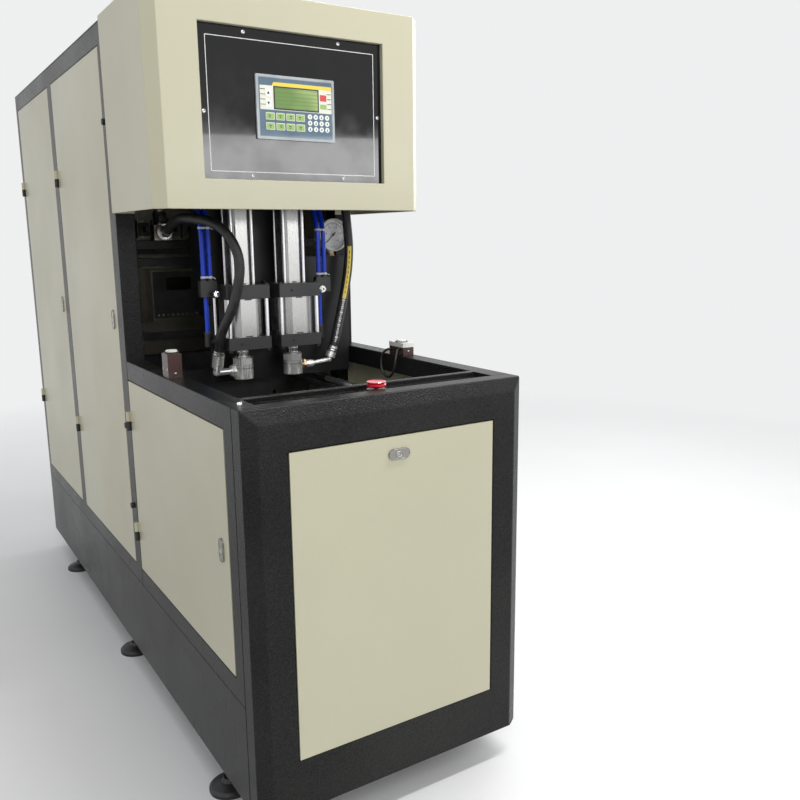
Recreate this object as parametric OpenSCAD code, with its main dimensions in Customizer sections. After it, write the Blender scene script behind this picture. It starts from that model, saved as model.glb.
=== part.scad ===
// Semi-automatic two-station stretch-blow machine for plastic bottles.
// Millimetres, +Z up. The operator stands at -Y, and the mould halves open along Y.
// Inside the modules y runs from 0 at the front face, and placed() centres the machine on the origin.

/* [Body] */
// Width over the frame
body_w = 700; // [660:5:760]
// Length of the low front box
box_l = 821; // [780:1:900]
// Length of the tall cabinet
cab_l = 1392; // [1340:1:1500]
// Height of the levelling feet under the base
foot_h = 85; // [70:1:110]
// Height of the base channels
plinth_h = 242; // [200:1:280]
// Height of the low front box above the base
box_h = 647; // [600:1:720]
// Height of the tall cabinet above the base
cab_h = 1519; // [1480:1:1650]
// Thickness of the heavy sheet
sheet = 3; // [2:0.5:4]

/* [Frame] */
// Depth of the frame tubes across the machine
tube_d = 50; // [45:1:60]
// Width of the cabinet posts seen from the side
post_w = 58; // [50:1:64]
// Width of the rear posts
rear_post_w = 40; // [36:1:60]
// Height of the rail along the top of the front box
rail_h = 51; // [45:1:60]
// Height of the sill below the doors
sill_h = 50; // [40:1:60]
// Height of the rail along the top of the cabinet
top_rail_h = 56; // [45:1:70]
// Flange width of the base channels
channel_w = 60; // [50:1:70]
// Wall of the base channels
channel_t = 6; // [4:0.5:8]

/* [Front bezel] */
// Depth of the bezel along the side
bezel_l = 60; // [50:1:80]
// Depth of the bevel round the front face
bevel_d = 18; // [10:1:24]
// Width of the bevel round the front face
bevel_w = 30; // [20:1:36]
// Width of the front panel
panel_w = 512; // [460:2:540]
// Height of the front panel
panel_h = 675; // [600:5:700]
// Height of the front panel's lower edge above the floor
panel_z = 206; // [190:1:240]
// Length of the sunk tray behind the top of the bezel
tray_l = 70; // [60:1:80]
// Depth of the sunk tray
tray_d = 12; // [6:1:20]
// Width of the lip behind the tray
lip_w = 16; // [10:1:20]

/* [Doors] */
// Gap round each door
door_gap = 2.5; // [2:0.5:5]
// Depth of the folded edge of a door
door_fold = 18; // [14:1:22]
// Thickness of the door sheet
door_t = 2; // [1.5:0.5:3]
// Front edge of the lower door from the front face
lower_door_y = 107; // [104:1:130]
// Radius of a hinge barrel
hinge_r = 6; // [5:0.5:7]
// Radius of a hinge pin
hinge_pin_r = 3; // [2.5:0.5:4]
// Height of one half of a hinge barrel
hinge_h = 26; // [20:1:34]
// Distance of the top and bottom hinges from the ends of a low door
low_hinge_in = 88; // [60:1:120]
// Distance of the top and bottom hinges from the ends of a tall door
tall_hinge_in = 270; // [200:5:320]
// Running clearance of pins and shafts in their bores
running = 0.05; // [0.02:0.01:0.1]
// Distance of a lock from the free edge of its door
lock_in = 42; // [38:1:60]
// Height of the locks of the tall doors above the floor
tall_lock_z = 1080; // [1000:10:1200]
// Height of the locks of the lower doors above the floor
low_lock_z = 652; // [600:5:700]
// Length of the oval lock plate
oval_l = 53; // [40:1:60]
// Width of the oval lock plate
oval_w = 23; // [18:1:28]
// Thickness of the oval lock plate
oval_t = 3; // [2:0.5:4]
// Radius of a lock barrel
lock_r = 7; // [6:0.5:8]
// Reach of a lock cam from the barrel's axis
cam_l = 36; // [32:1:38]
// Width of a lock cam
cam_w = 14; // [10:1:16]
// Width of a catch plate beside the door opening
catch_w = 14; // [10:1:16]

/* [Head] */
// Height of the head box
head_h = 483; // [440:1:520]
// Overhang of the head box in front of the cabinet
head_l = 386; // [340:2:420]
// Distance that the head box stands proud of each side
head_proud = 8; // [5:1:12]
// Distance that the head box stands proud of the roof
head_rise = 2; // [2:1:6]
// Bevel of the head box's front corners
head_bevel = 27; // [20:1:32]
// Thickness of the head box's sheet
head_t = 2; // [1.5:0.5:3]
// Width of the window for the control panel
window_w = 480; // [440:2:520]
// Height of the window for the control panel
window_h = 340; // [300:2:360]
// Height of the window's lower edge above the head's lower edge
window_up = 68; // [50:1:80]
// Depth at which the control panel lies
window_d = 14; // [10:1:20]
// Width of the controller
pad_w = 203; // [180:1:220]
// Height of the controller
pad_h = 143; // [130:1:160]

/* [Blowing gear] */
// Distance from the tall cabinet's face forward to the blow nozzles
nozzle_in = 148; // [135:1:155]
// Distance between the two nozzles
nozzle_pitch = 149; // [144:1:156]
// Side of the seal cylinder's square blocks
seal_block = 121; // [116:1:124]
// Bore of the seal cylinder
seal_bore = 100; // [90:1:102]
// Wall of the cylinder tubes
barrel_t = 4; // [3:0.5:5]
// Length of the seal cylinder's tube
seal_l = 101; // [96:1:120]
// Height of the seal cylinder's end block
end_block_h = 33; // [30:1:40]
// Height of the block between the two cylinders
mid_block_h = 37; // [30:1:42]
// Height of the lower end blocks above the deck
end_block_up = 32; // [26:1:44]
// Stroke of the seal cylinder
seal_stroke = 50; // [30:1:60]
// Bore of the stretch cylinder
stretch_bore = 50; // [40:1:54]
// Side of the stretch cylinder's square blocks
stretch_block = 66; // [62:1:72]
// Stroke of the stretch cylinder
stretch_stroke = 340; // [300:5:360]
// Radius of the hollow seal rod
seal_rod_r = 15; // [13:0.5:18]
// Radius of the stretch rod
stretch_rod_r = 6; // [5:0.5:7]
// Radius of the blow nozzle
nozzle_r = 27; // [24:0.5:30]
// Height of the blow nozzle
nozzle_h = 41; // [34:1:44]
// Depth of the blow nozzles' lower face below the deck
nozzle_down = 54; // [48:1:56]
// Radius of the seal cylinder's tie rods
seal_tie_r = 5; // [4:0.5:6]
// Radius of the stretch cylinder's tie rods
stretch_tie_r = 4; // [3:0.5:5]
// Thickness of the plate behind the cylinders
back_plate_t = 12; // [10:1:16]

/* [Clamp] */
// Diameter of the tie bars
tie_bar_d = 40; // [36:1:45]
// Distance of the tie bars from the middle
tie_bar_x = 204; // [200:1:215]
// Depth of the upper tie bars below the platens' top edge
tie_bar_down = 40; // [34:1:56]
// Height of the lower tie bars
tie_bar_low_z = 530; // [525:1:560]
// Thickness of the platens
platen_t = 45; // [40:1:50]
// Half width of the platens
platen_x = 250; // [245:1:260]
// Depth of the platens' top edge below the deck
platen_down = 59; // [54:1:70]
// Bottom of the moving platens above the floor
platen_low_z = 500; // [495:1:505]
// Travel of each moving platen
platen_stroke = 150; // [100:5:150]
// Half of the closed mould's thickness
mould_half = 115; // [100:1:120]
// Spacing of the mould bolts across the machine
mould_bolt_x = 260; // [220:5:300]
// Spacing of the mould bolts in height
mould_bolt_z = 240; // [200:5:280]
// Radius of the mould bolt holes
mould_bolt_r = 5.1; // [4:0.1:6]
// Height of the bed beams' top above the floor
bed_z = 480; // [475:1:485]
// Tooth module of the racks and pinions
tooth_m = 3; // [3:0.5:3]
// Teeth on each pinion
pinion_teeth = 20; // [20:4:20]
// Height of the cross shaft above the floor
shaft_z = 420; // [415:1:425]
// Radius of the cross shaft
shaft_r = 12.5; // [10:0.5:14]
// Bore of the clamp cylinder
clamp_bore = 160; // [140:5:165]
// Side of the clamp cylinder's end plates
clamp_plate = 196; // [190:1:200]
// Radius of the clamp rod
clamp_rod_r = 25; // [20:1:28]

/* [Services] */
// Outer diameter of the blow hoses
hose_d = 26; // [22:1:28]
// Outer diameter of the blue air tubes
air_tube_d = 12; // [10:1:12]
// Diameter of the pressure gauge
gauge_d = 92; // [80:1:100]
// Radius of the start buttons
button_r = 14; // [12:0.5:15]
// Travel of the start buttons
button_travel = 4; // [3:0.5:5]
// Radius of the stop button
stop_r = 22; // [18:0.5:25]
// Travel of the stop button
stop_travel = 4; // [3:0.5:5]
// Diameter of the air tank
tank_d = 240; // [200:5:250]

/* [Hidden] */
$fn = 48;
eps = 0.01;

half_w = body_w / 2;
in_x = half_w - tube_d;
body_l = box_l + cab_l;
base_z = foot_h + plinth_h;
deck_z = base_z + box_h;
roof_z = base_z + cab_h;
door_low_z = base_z + sill_h;
inlet_proud = 22;
mid_y = (body_l + inlet_proud - oval_t) / 2;
nozzle_y = box_l - nozzle_in;
end_block_z = deck_z + end_block_up;
nozzle_z = deck_z - nozzle_down;
platen_top_z = deck_z - platen_down;
tie_bar_top_z = platen_top_z - tie_bar_down;

// Posts of the cabinet, as [start, width] along y.
mid_post_y = box_l + 695;
rear_post_y = body_l - rear_post_w;
front_door_y = box_l + post_w;
rear_door_y = mid_post_y + post_w;

// Doors as [front edge, rear edge, bottom, top, hinge inset, lock height].
lower_door = [lower_door_y, box_l, door_low_z, deck_z - rail_h, low_hinge_in, low_lock_z];
front_door = [front_door_y, mid_post_y, door_low_z, roof_z - top_rail_h, tall_hinge_in, tall_lock_z];
rear_door = [rear_door_y, rear_post_y, door_low_z, roof_z - top_rail_h, tall_hinge_in, tall_lock_z];
hinge_x = half_w + hinge_r + 0.3;
catch_gap = 2;
panel_keep_z = 871;
cam_t = 3;
cross_h = 24;
bed_foot_h = 30;
cam_x = half_w - door_fold - catch_gap - sheet - 2 - cam_t;

head_z = roof_z + head_rise - head_h;
head_y = box_l - head_l;
head_x = half_w + head_proud;
window_z = head_z + window_up;
panel_y = head_y + window_d;

block_z1 = end_block_z + end_block_h;
mid_block_z = block_z1 + seal_l;
stretch_z = mid_block_z + mid_block_h;
stretch_l = stretch_stroke + 60;
stretch_top_z = stretch_z + stretch_l;
plate_y = nozzle_y + seal_block / 2;
seal_tie_x = seal_block / 2 - 11.5;
stretch_tie_x = stretch_block / 2 - 9.5;
rod_hole_r = stretch_rod_r + 2;
seal_piston_h = 22;
stretch_piston_h = 24;
beam_y = box_l + 79;
beam_d = 40;
upper_beam_z = deck_z + 296;
upper_beam_h = 25;
lower_beam_z = deck_z + 250;
lower_beam_h = 22;

pinion_r = tooth_m * pinion_teeth / 2;
rack_front_x = 198;
rack_rear_x = 213;
rack_w = 13;
rack_h = 24;
tooth_play = 0.15;
shaft_half = rack_rear_x + rack_w + 6;
front_open_y = nozzle_y - mould_half - platen_stroke - platen_t;
rear_open_y = nozzle_y + mould_half + platen_stroke;
front_fix_y = 112;
rear_fix_y = rear_open_y + 375;
platen_mid_z = platen_top_z - 215;
bed_x0 = 100;
bed_x1 = 160;
rack_reach = 18;

module placed() {
    translate([0, -mid_y, 0])
        children();
}

module block(lo, hi) {
    translate(lo)
        cube(hi - lo);
}

// The same piece on both sides of the machine's middle plane.
module both_sides() {
    children();
    mirror([1, 0, 0])
        children();
}

// A piece drawn for the right side, put on side 1 (right) or -1 (left).
module on_side(side) {
    mirror([side < 0 ? 1 : 0, 0, 0])
        children();
}

// A prism whose outline is drawn in y and z, between x0 and x0 + h.
module along_x(x0, h) {
    translate([x0, 0, 0])
        rotate([90, 0, 90])
            linear_extrude(h)
                children();
}

// A prism whose outline is drawn in x and z, between y0 and y0 + h.
module along_y(y0, h) {
    translate([0, y0 + h, 0])
        rotate([90, 0, 0])
            linear_extrude(h)
                children();
}

module rod_y(x, z, y0, y1, r) {
    translate([x, y1, z])
        rotate([90, 0, 0])
            cylinder(h = y1 - y0, r = r);
}

module rod_x(y, z, x0, x1, r) {
    translate([x0, y, z])
        rotate([0, 90, 0])
            cylinder(h = x1 - x0, r = r);
}

module rod_z(x, y, z0, z1, r) {
    translate([x, y, z0])
        cylinder(h = z1 - z0, r = r);
}

module hex_z(x, y, z0, h, flats) {
    translate([x, y, z0])
        cylinder(h = h, r = flats / sqrt(3), $fn = 6);
}

// A tube swept along hand-chosen points, with flat round ends.
function unit(v) = v / norm(v);
function way(p, i) = unit(p[min(i + 1, len(p) - 1)] - p[max(i - 1, 0)]);
function side_of(d) = unit(cross(d, abs(d[0]) < 0.9 ? [1, 0, 0] : [0, 1, 0]));
function ring_at(c, d, r, n) =
    let (u = side_of(d), v = cross(d, u))
    [for (k = [0:n - 1]) c + r * (cos(360 * k / n) * u + sin(360 * k / n) * v)];

module tube_along(p, d, n) {
    m = len(p);
    points = [for (i = [0:m - 1]) each ring_at(p[i], way(p, i), d / 2, n)];
    walls = [for (i = [0:m - 2], k = [0:n - 1])
        [i * n + k, i * n + (k + 1) % n, (i + 1) * n + (k + 1) % n, (i + 1) * n + k]];
    first = [for (k = [n - 1:-1:0]) k];
    last = [for (k = [0:n - 1]) (m - 1) * n + k];
    polyhedron(points, concat([first, last], walls), convexity = 6);
}

/* Base and frame */

module base_plinth() {
    color([0.13, 0.13, 0.12])
        placed()
            difference() {
                union() {
                    both_sides()
                        along_y(bezel_l, body_l - bezel_l)
                            polygon([[half_w, foot_h], [half_w, base_z], [half_w - channel_w, base_z],
                                [half_w - channel_w, base_z - channel_t],
                                [half_w - channel_t, base_z - channel_t],
                                [half_w - channel_t, foot_h + channel_t],
                                [half_w - channel_w, foot_h + channel_t],
                                [half_w - channel_w, foot_h]]);
                    for (y = [bezel_l, box_l, mid_post_y, body_l - channel_w])
                        block([-half_w + channel_t, y, base_z - 90],
                            [half_w - channel_t, y + channel_w, base_z]);
                    block([-half_w, body_l - channel_t, foot_h], [half_w, body_l, base_z]);
                }
                for (x = [-foot_x, foot_x], y = foot_ys)
                    rod_z(x, y, foot_h - 1, foot_h + channel_t + 1, stud_r + 0.5);
            }
}

foot_x = half_w - 32;
foot_ys = [275, 1090, 1905];
stud_r = 8;
disc_r = 49;
nut_h = 13;

module levelling_foot() {
    difference() {
        rotate_extrude()
            polygon([[0, 0], [disc_r, 0], [disc_r, 8], [disc_r - 6, 14], [20, 22], [14, 30], [0, 30]]);
        rod_z(0, 0, 20, 31, stud_r);
    }
    rod_z(0, 0, 20, foot_h + channel_t + nut_h + 8, stud_r);
    for (z = [foot_h - nut_h, foot_h + channel_t])
        difference() {
            hex_z(0, 0, z, nut_h, 24);
            rod_z(0, 0, z - 1, z + nut_h + 1, stud_r);
        }
}

module levelling_feet() {
    color([0.2, 0.2, 0.2])
        placed()
            for (x = [-foot_x, foot_x], y = foot_ys)
                translate([x, y, 0])
                    levelling_foot();
}

module front_bezel() {
    color([0.15, 0.15, 0.14])
        placed() {
            along_x(-40, 80)
                polygon([[sheet - eps, panel_keep_z + 19], [20, panel_keep_z + 19], [20, panel_keep_z],
                    [23, panel_keep_z], [23, panel_keep_z + 22], [sheet - eps, panel_keep_z + 22]]);
            difference() {
                intersection() {
                    translate([0, 0, foot_h])
                        linear_extrude(deck_z - foot_h)
                            polygon([[-half_w + bevel_w, 0], [half_w - bevel_w, 0], [half_w, bevel_d],
                                [half_w, bezel_l], [-half_w, bezel_l], [-half_w, bevel_d]]);
                    along_x(-half_w, body_w)
                        polygon([[0, foot_h], [bezel_l, foot_h], [bezel_l, deck_z],
                            [bevel_d, deck_z], [0, deck_z - bevel_w]]);
                }
                block([-half_w + sheet, bevel_d + sheet, foot_h - 1],
                    [half_w - sheet, bezel_l + 1, deck_z - sheet]);
                block([-half_w + bevel_w, sheet, foot_h - 1],
                    [half_w - bevel_w, bevel_d + sheet + 1, deck_z - bevel_w]);
                block([-panel_w / 2 - door_gap, -1, panel_z - 0.3],
                    [panel_w / 2 + door_gap, bezel_l, panel_z + panel_h + door_gap]);
            }
        }
}

module lower_frame() {
    color([0.15, 0.15, 0.14])
        placed() {
            both_sides() {
                block([in_x, bezel_l, base_z], [half_w, lower_door_y, deck_z]);
                block([in_x, bezel_l, deck_z - rail_h], [half_w, box_l, deck_z]);
                block([in_x, bezel_l, base_z], [half_w, box_l, base_z + sill_h]);
            }
            block([-in_x, bezel_l, deck_z - rail_h], [in_x, bezel_l + tray_l, deck_z - tray_d]);
            block([-in_x, bezel_l + tray_l, deck_z - rail_h],
                [in_x, bezel_l + tray_l + lip_w, deck_z]);
            block([-in_x, bezel_l, base_z], [in_x, lower_door_y, base_z + cross_h]);
            both_sides()
                catch_plate(lower_door);
        }
}

// The plate beside a door opening that a lock cam turns behind.
module catch_plate(door) {
    block([half_w - door_fold - catch_gap - sheet, door[0] - eps, door[5] - 40],
        [half_w - door_fold - catch_gap, door[0] + catch_w, door[5] + 40]);
}

module cabinet_frame() {
    color([0.15, 0.15, 0.14])
        placed() {
            both_sides() {
                for (p = [[box_l, post_w], [mid_post_y, post_w], [rear_post_y, rear_post_w]])
                    block([in_x, p[0], base_z], [half_w, p[0] + p[1], roof_z - sheet]);
                block([in_x, box_l, roof_z - top_rail_h], [half_w, body_l, roof_z - sheet]);
                block([in_x, box_l, base_z], [half_w, body_l, base_z + sill_h]);
                catch_plate(front_door);
                catch_plate(rear_door);
            }
            for (y = [box_l, mid_post_y, rear_post_y], z = [base_z, roof_z - top_rail_h])
                block([-in_x, y, z], [in_x, y + rear_post_w, z + (z > deck_z ? top_rail_h - sheet : cross_h)]);
        }
}

module roof_sheet() {
    color([0.15, 0.15, 0.14])
        placed()
            block([-half_w, box_l, roof_z - sheet], [half_w, body_l, roof_z]);
}

louvre_rows = 7;
louvre_w = 340;

// The fixed panel at the back, with two banks of pressed louvres.
module rear_panel() {
    color([0.76, 0.74, 0.65])
        placed() {
            difference() {
                block([-in_x + door_gap, body_l - door_fold, door_low_z + door_gap],
                    [in_x - door_gap, body_l, roof_z - top_rail_h - door_gap]);
                block([-in_x + door_gap + door_t, body_l - door_fold - 1, door_low_z + door_gap + door_t],
                    [in_x - door_gap - door_t, body_l - door_t, roof_z - top_rail_h - door_gap - door_t]);
                for (z0 = [door_low_z + 120, roof_z - 420], i = [0:louvre_rows - 1])
                    block([-louvre_w / 2, body_l - door_t - 1, z0 + i * 34],
                        [louvre_w / 2, body_l + 1, z0 + i * 34 + 8]);
                rod_y(inlet_x, inlet_z, body_l - door_t - 1, body_l + 1, inlet_r + 6);
            }
            both_sides()
                for (z = [door_low_z + 220, (door_low_z + roof_z) / 2, roof_z - 250])
                    block([in_x - door_gap - eps, body_l - door_fold, z], [in_x, body_l - door_fold + 4, z + 40]);
            for (z0 = [door_low_z + 120, roof_z - 420], i = [0:louvre_rows - 1])
                along_x(-louvre_w / 2, louvre_w)
                    polygon([[body_l - eps, z0 + i * 34 + 12], [body_l + 8, z0 + i * 34 + 3],
                        [body_l + 8, z0 + i * 34 + 1], [body_l - eps, z0 + i * 34 + 9.5]]);
        }
}

inlet_x = 180;
saddle_h = 20;
saddle_l = 40;
tank_z = base_z + saddle_h + 4 + tank_d / 2;
inlet_z = tank_z + 49;
inlet_r = 9;

module bed_beams() {
    color([0.2, 0.2, 0.2])
        placed()
            difference() {
                union() {
                    both_sides()
                        block([bed_x0, front_fix_y, base_z + bed_foot_h],
                            [bed_x1, rear_fix_y + platen_t + 20, bed_z]);
                    for (y = [front_fix_y, box_l - 60, rear_fix_y])
                        block([-in_x, y, base_z], [in_x, y + 50, base_z + bed_foot_h]);
                }
                rod_x(nozzle_y, shaft_z, -bed_x1 - 1, bed_x1 + 1, shaft_r + running);
            }
}

/* Head */

module head_outline(shrink) {
    x = head_x - shrink;
    b = head_bevel - shrink * 0.4;
    polygon([[-x + b, head_y + shrink], [x - b, head_y + shrink], [x, head_y + shrink + b],
        [x, box_l + (shrink > 0 ? 1 : 0)], [-x, box_l + (shrink > 0 ? 1 : 0)],
        [-x, head_y + shrink + b]]);
}

module head_box() {
    color([0.78, 0.76, 0.67])
        placed() {
            difference() {
                translate([0, 0, head_z])
                    linear_extrude(head_h)
                        head_outline(0);
                translate([0, 0, head_z - 1])
                    linear_extrude(head_h + 1 - head_t)
                        head_outline(head_t);
                block([-window_w / 2, head_y - 1, window_z],
                    [window_w / 2, head_y + head_t + 1, window_z + window_h]);
            }
            difference() {
                block([-window_w / 2 - head_t, head_y + head_t - eps, window_z - head_t],
                    [window_w / 2 + head_t, panel_y, window_z + window_h + head_t]);
                block([-window_w / 2, head_y, window_z],
                    [window_w / 2, panel_y + 1, window_z + window_h]);
            }
            both_sides()
                block([in_x, box_l - head_t, head_z], [head_x - head_t + eps, box_l, head_z + head_h - head_t]);
        }
}

module control_panel() {
    color([0.03, 0.03, 0.04])
        placed()
            difference() {
                block([-window_w / 2 - 8, panel_y, window_z - 8],
                    [window_w / 2 + 8, panel_y + 4, window_z + window_h + 8]);
                block([-pad_w / 2 + 8, panel_y - 1, pad_z + 8],
                    [pad_w / 2 - 8, panel_y + 5, pad_z + pad_h - 8]);
            }
}

pad_z = window_z + 97;

// The controller: a thin bezel on the panel and a housing through the cut-out.
module controller() {
    color([0.55, 0.6, 0.62])
        placed() {
            block([-pad_w / 2, panel_y - 5, pad_z], [pad_w / 2, panel_y, pad_z + pad_h]);
            block([-pad_w / 2 + 9, panel_y, pad_z + 9], [pad_w / 2 - 9, panel_y + 60, pad_z + pad_h - 9]);
        }
}

/* Blowing gear */

module shelf_beams() {
    color([0.15, 0.15, 0.14])
        placed() {
            block([-in_x, beam_y, upper_beam_z], [in_x, beam_y + beam_d, upper_beam_z + upper_beam_h]);
            block([-in_x, beam_y, lower_beam_z], [in_x, beam_y + beam_d, lower_beam_z + lower_beam_h]);
            block([-in_x, box_l, manifold_z], [in_x, box_l + 30, manifold_z + 50]);
        }
}

plate_low_z = deck_z - 69;
plate_step_z = deck_z + 144;
plate_wing_z = deck_z + 271;
plate_x1 = in_x - 10;

// The steel plate that carries the cylinders, with two gussets to the beams.
module cylinder_plate() {
    color([0.2, 0.2, 0.21])
        placed() {
            along_y(plate_y, back_plate_t)
                polygon([[-142, plate_low_z], [plate_x1, plate_low_z], [plate_x1, plate_wing_z],
                    [135, plate_wing_z], [135, stretch_top_z], [-135, stretch_top_z],
                    [-135, plate_step_z], [-142, plate_step_z]]);
            for (x = [-135, 125])
                along_x(x, 10)
                    polygon([[plate_y + back_plate_t - eps, lower_beam_z - 74], [beam_y, lower_beam_z],
                        [beam_y, upper_beam_z + upper_beam_h],
                        [plate_y + back_plate_t - eps, upper_beam_z + upper_beam_h + 85]]);
        }
}

module station(side) {
    translate([side * nozzle_pitch / 2, nozzle_y, 0])
        children();
}

module square_block(z0, z1, side, bore_r) {
    difference() {
        block([-side / 2, -side / 2, z0], [side / 2, side / 2, z1]);
        rod_z(0, 0, z0 - 1, z1 + 1, bore_r);
    }
}

module cylinder_blocks() {
    color([0.12, 0.12, 0.13])
        placed()
            for (side = [-1, 1])
                station(side) {
                    square_block(end_block_z, block_z1, seal_block, seal_rod_r + running);
                    square_block(mid_block_z, stretch_z, seal_block, rod_hole_r);
                    square_block(stretch_top_z, stretch_top_z + end_block_h, stretch_block, rod_hole_r);
                }
}

// The drawn tubes of the four cylinders, with the flat-sided outside that such tubes have.
module barrel(z0, z1, bore, side) {
    difference() {
        intersection() {
            rod_z(0, 0, z0, z1, bore / 2 + 2 * barrel_t);
            block([-side / 2, -side / 2, z0], [side / 2, side / 2, z1]);
        }
        rod_z(0, 0, z0 - 1, z1 + 1, bore / 2);
    }
}

module cylinder_barrels() {
    color([0.78, 0.78, 0.78])
        placed()
            for (side = [-1, 1])
                station(side) {
                    barrel(block_z1, mid_block_z, seal_bore, seal_bore + 2 * barrel_t);
                    barrel(stretch_z, stretch_top_z, stretch_bore, stretch_bore + 2 * barrel_t);
                }
}

module tie_set(z0, z1, x, r) {
    for (a = [-x, x], b = [-x, x])
        rod_z(a, b, z0, z1, r);
}

module cylinder_tie_rods() {
    color([0.85, 0.85, 0.85])
        placed()
            for (side = [-1, 1])
                station(side) {
                    tie_set(block_z1, mid_block_z, seal_tie_x + 4, seal_tie_r);
                    tie_set(stretch_z, stretch_top_z, stretch_tie_x + 5, stretch_tie_r);
                }
}

// Hollow rod of the seal cylinder, with its piston inside the tube.
module seal_rod(side) {
    color([0.86, 0.86, 0.87])
        placed()
            station(side)
                difference() {
                    union() {
                        rod_z(0, 0, nozzle_z + nozzle_h, mid_block_z - 10, seal_rod_r);
                        rod_z(0, 0, mid_block_z - 10 - seal_piston_h, mid_block_z - 10,
                            seal_bore / 2 - 0.4);
                    }
                    rod_z(0, 0, nozzle_z, mid_block_z, rod_hole_r);
                }
}

module blow_nozzle(side) {
    hex_h = 17;
    flats = 50;
    port_z = nozzle_z + 24;
    color([0.8, 0.8, 0.8])
        placed() {
            station(side)
                difference() {
                    union() {
                        rotate_extrude()
                            polygon([[0, nozzle_z + 2], [nozzle_r - 2, nozzle_z], [nozzle_r, nozzle_z + 2],
                                [nozzle_r, nozzle_z + nozzle_h - 2], [nozzle_r - 2, nozzle_z + nozzle_h],
                                [0, nozzle_z + nozzle_h]]);
                        rod_x(0, port_z, side > 0 ? nozzle_r - 3 : -nozzle_r - 12,
                            side > 0 ? nozzle_r + 12 : -nozzle_r + 3, 12);
                    }
                    rod_z(0, 0, nozzle_z - 1, nozzle_z + nozzle_h + 1, rod_hole_r);
                }
            station(side)
                difference() {
                    hex_z(0, 0, nozzle_z + nozzle_h, hex_h, flats);
                    rod_z(0, 0, nozzle_z + nozzle_h - 1, nozzle_z + nozzle_h + hex_h + 1, seal_rod_r);
                }
            if (side < 0)
                left_elbow(port_z);
            else
                right_elbow(port_z);
        }
}

// A straight piece between two points.
module link(a, b, r) {
    d = b - a;
    translate(a)
        rotate([0, acos(d[2] / norm(d)), atan2(d[1], d[0])])
            cylinder(h = norm(d), r = r);
}

hose_gap = 0.6;

module left_elbow(z) {
    start = [-nozzle_pitch / 2 - nozzle_r - 12, nozzle_y, z];
    corner = [left_hose_end[0], nozzle_y, z];
    link(corner, start, 9);
    translate(corner)
        sphere(r = 11);
    back = unit(corner - left_hose_end);
    link(corner, left_hose_end + hose_gap * back, 10);
    link(left_hose_end + 38 * back, left_hose_end + hose_gap * back, 15.5);
}

module right_elbow(z) {
    start = [nozzle_pitch / 2 + nozzle_r + 12, nozzle_y, z];
    nut = start + [22, 0, 0];
    corner = right_hose_end - [9, 0, 22];
    link(start, nut, 11);
    link(nut - [6, 0, 0], corner, 6);
    translate(corner)
        sphere(r = 8);
    back = unit(corner - right_hose_end);
    link(corner, right_hose_end + 2 * hose_gap * back, 6);
    link(right_hose_end + 17 * back, right_hose_end + 2 * hose_gap * back, 14.5);
}

module stretch_rod(side) {
    color([0.88, 0.88, 0.88])
        placed()
            station(side) {
                rod_z(0, 0, nozzle_z + 6, stretch_top_z - 12, stretch_rod_r);
                difference() {
                    rod_z(0, 0, stretch_top_z - 12 - stretch_piston_h, stretch_top_z - 12,
                        stretch_bore / 2 - 0.4);
                    rod_z(0, 0, stretch_top_z - 50, stretch_top_z, stretch_rod_r);
                }
            }
}

/* Air and hoses */

valve_xs = [-205, 95];

// Blow valves on the upper beam: body, outlet boss and round solenoid coil.
module blow_valves() {
    z0 = upper_beam_z + upper_beam_h;
    color([0.45, 0.42, 0.38])
        placed()
            for (x = valve_xs) {
                block([x - 24, beam_y - 4, z0], [x + 24, beam_y + 38, z0 + 42]);
                rod_z(x, beam_y + 17, z0 + 42, z0 + 90, 15);
                rod_y(x, valve_out_z, beam_y - 22, beam_y - 4, 13);
            }
}

valve_out_z = upper_beam_z + upper_beam_h + 23;

// Route of the left blow hose from the valve to the nozzle's elbow: x, y from the nozzle's
// middle, height above the deck.
left_run = [[-205, 205, 344], [-205, 193, 344], [-205, 187, 345], [-209, 147, 354], [-212, 97, 367],
    [-211, 49, 375], [-205, 11, 376], [-190, -21, 374], [-168, -45, 367], [-148, -66, 353],
    [-131, -83, 329], [-117, -96, 294], [-112, -100, 256], [-115, -97, 216], [-122, -89, 176],
    [-133, -79, 138], [-147, -66, 102], [-154, -47, 68], [-151, -31, 43], [-151, -22, 22]];
left_hose = [for (p = left_run) [p[0], nozzle_y + p[1], deck_z + p[2]]];
left_hose_end = left_hose[len(left_hose) - 1];

// Route of the right blow hose from the nozzle's pipe up to the manifold: x, y from the
// nozzle's middle, and the part of the way up.
manifold_z = head_z + 75;
manifold_d = 60;
right_low_z = deck_z - 1;
right_run = [[199, 0, 0], [211, 1, 31], [224, 3, 77], [238, 7, 121], [253, 10, 176], [265, 11, 237],
    [270, 12, 297], [268, 14, 351], [265, 17, 397], [262, 20, 437], [262, 20, 455], [262, 20, 467]];
right_hose = [for (p = right_run)
    [p[0], nozzle_y + p[1], right_low_z + (manifold_z - right_low_z) * p[2] / 467]];
right_hose_end = right_hose[0];

module left_blow_hose() {
    color([0.06, 0.06, 0.06])
        placed()
            tube_along(left_hose, hose_d, 12);
}

module right_blow_hose() {
    color([0.06, 0.06, 0.06])
        placed()
            tube_along(right_hose, hose_d, 12);
}

// Air tubes beside a station: two to the block between the cylinders, one to the end block.
air_x = 168;
air_y = nozzle_y - 9;
mid_port_z = mid_block_z + 16;
end_port_z = end_block_z + 18;
mid_fit_z = mid_port_z + 33;
end_fit_z = end_port_z + 24;
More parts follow.
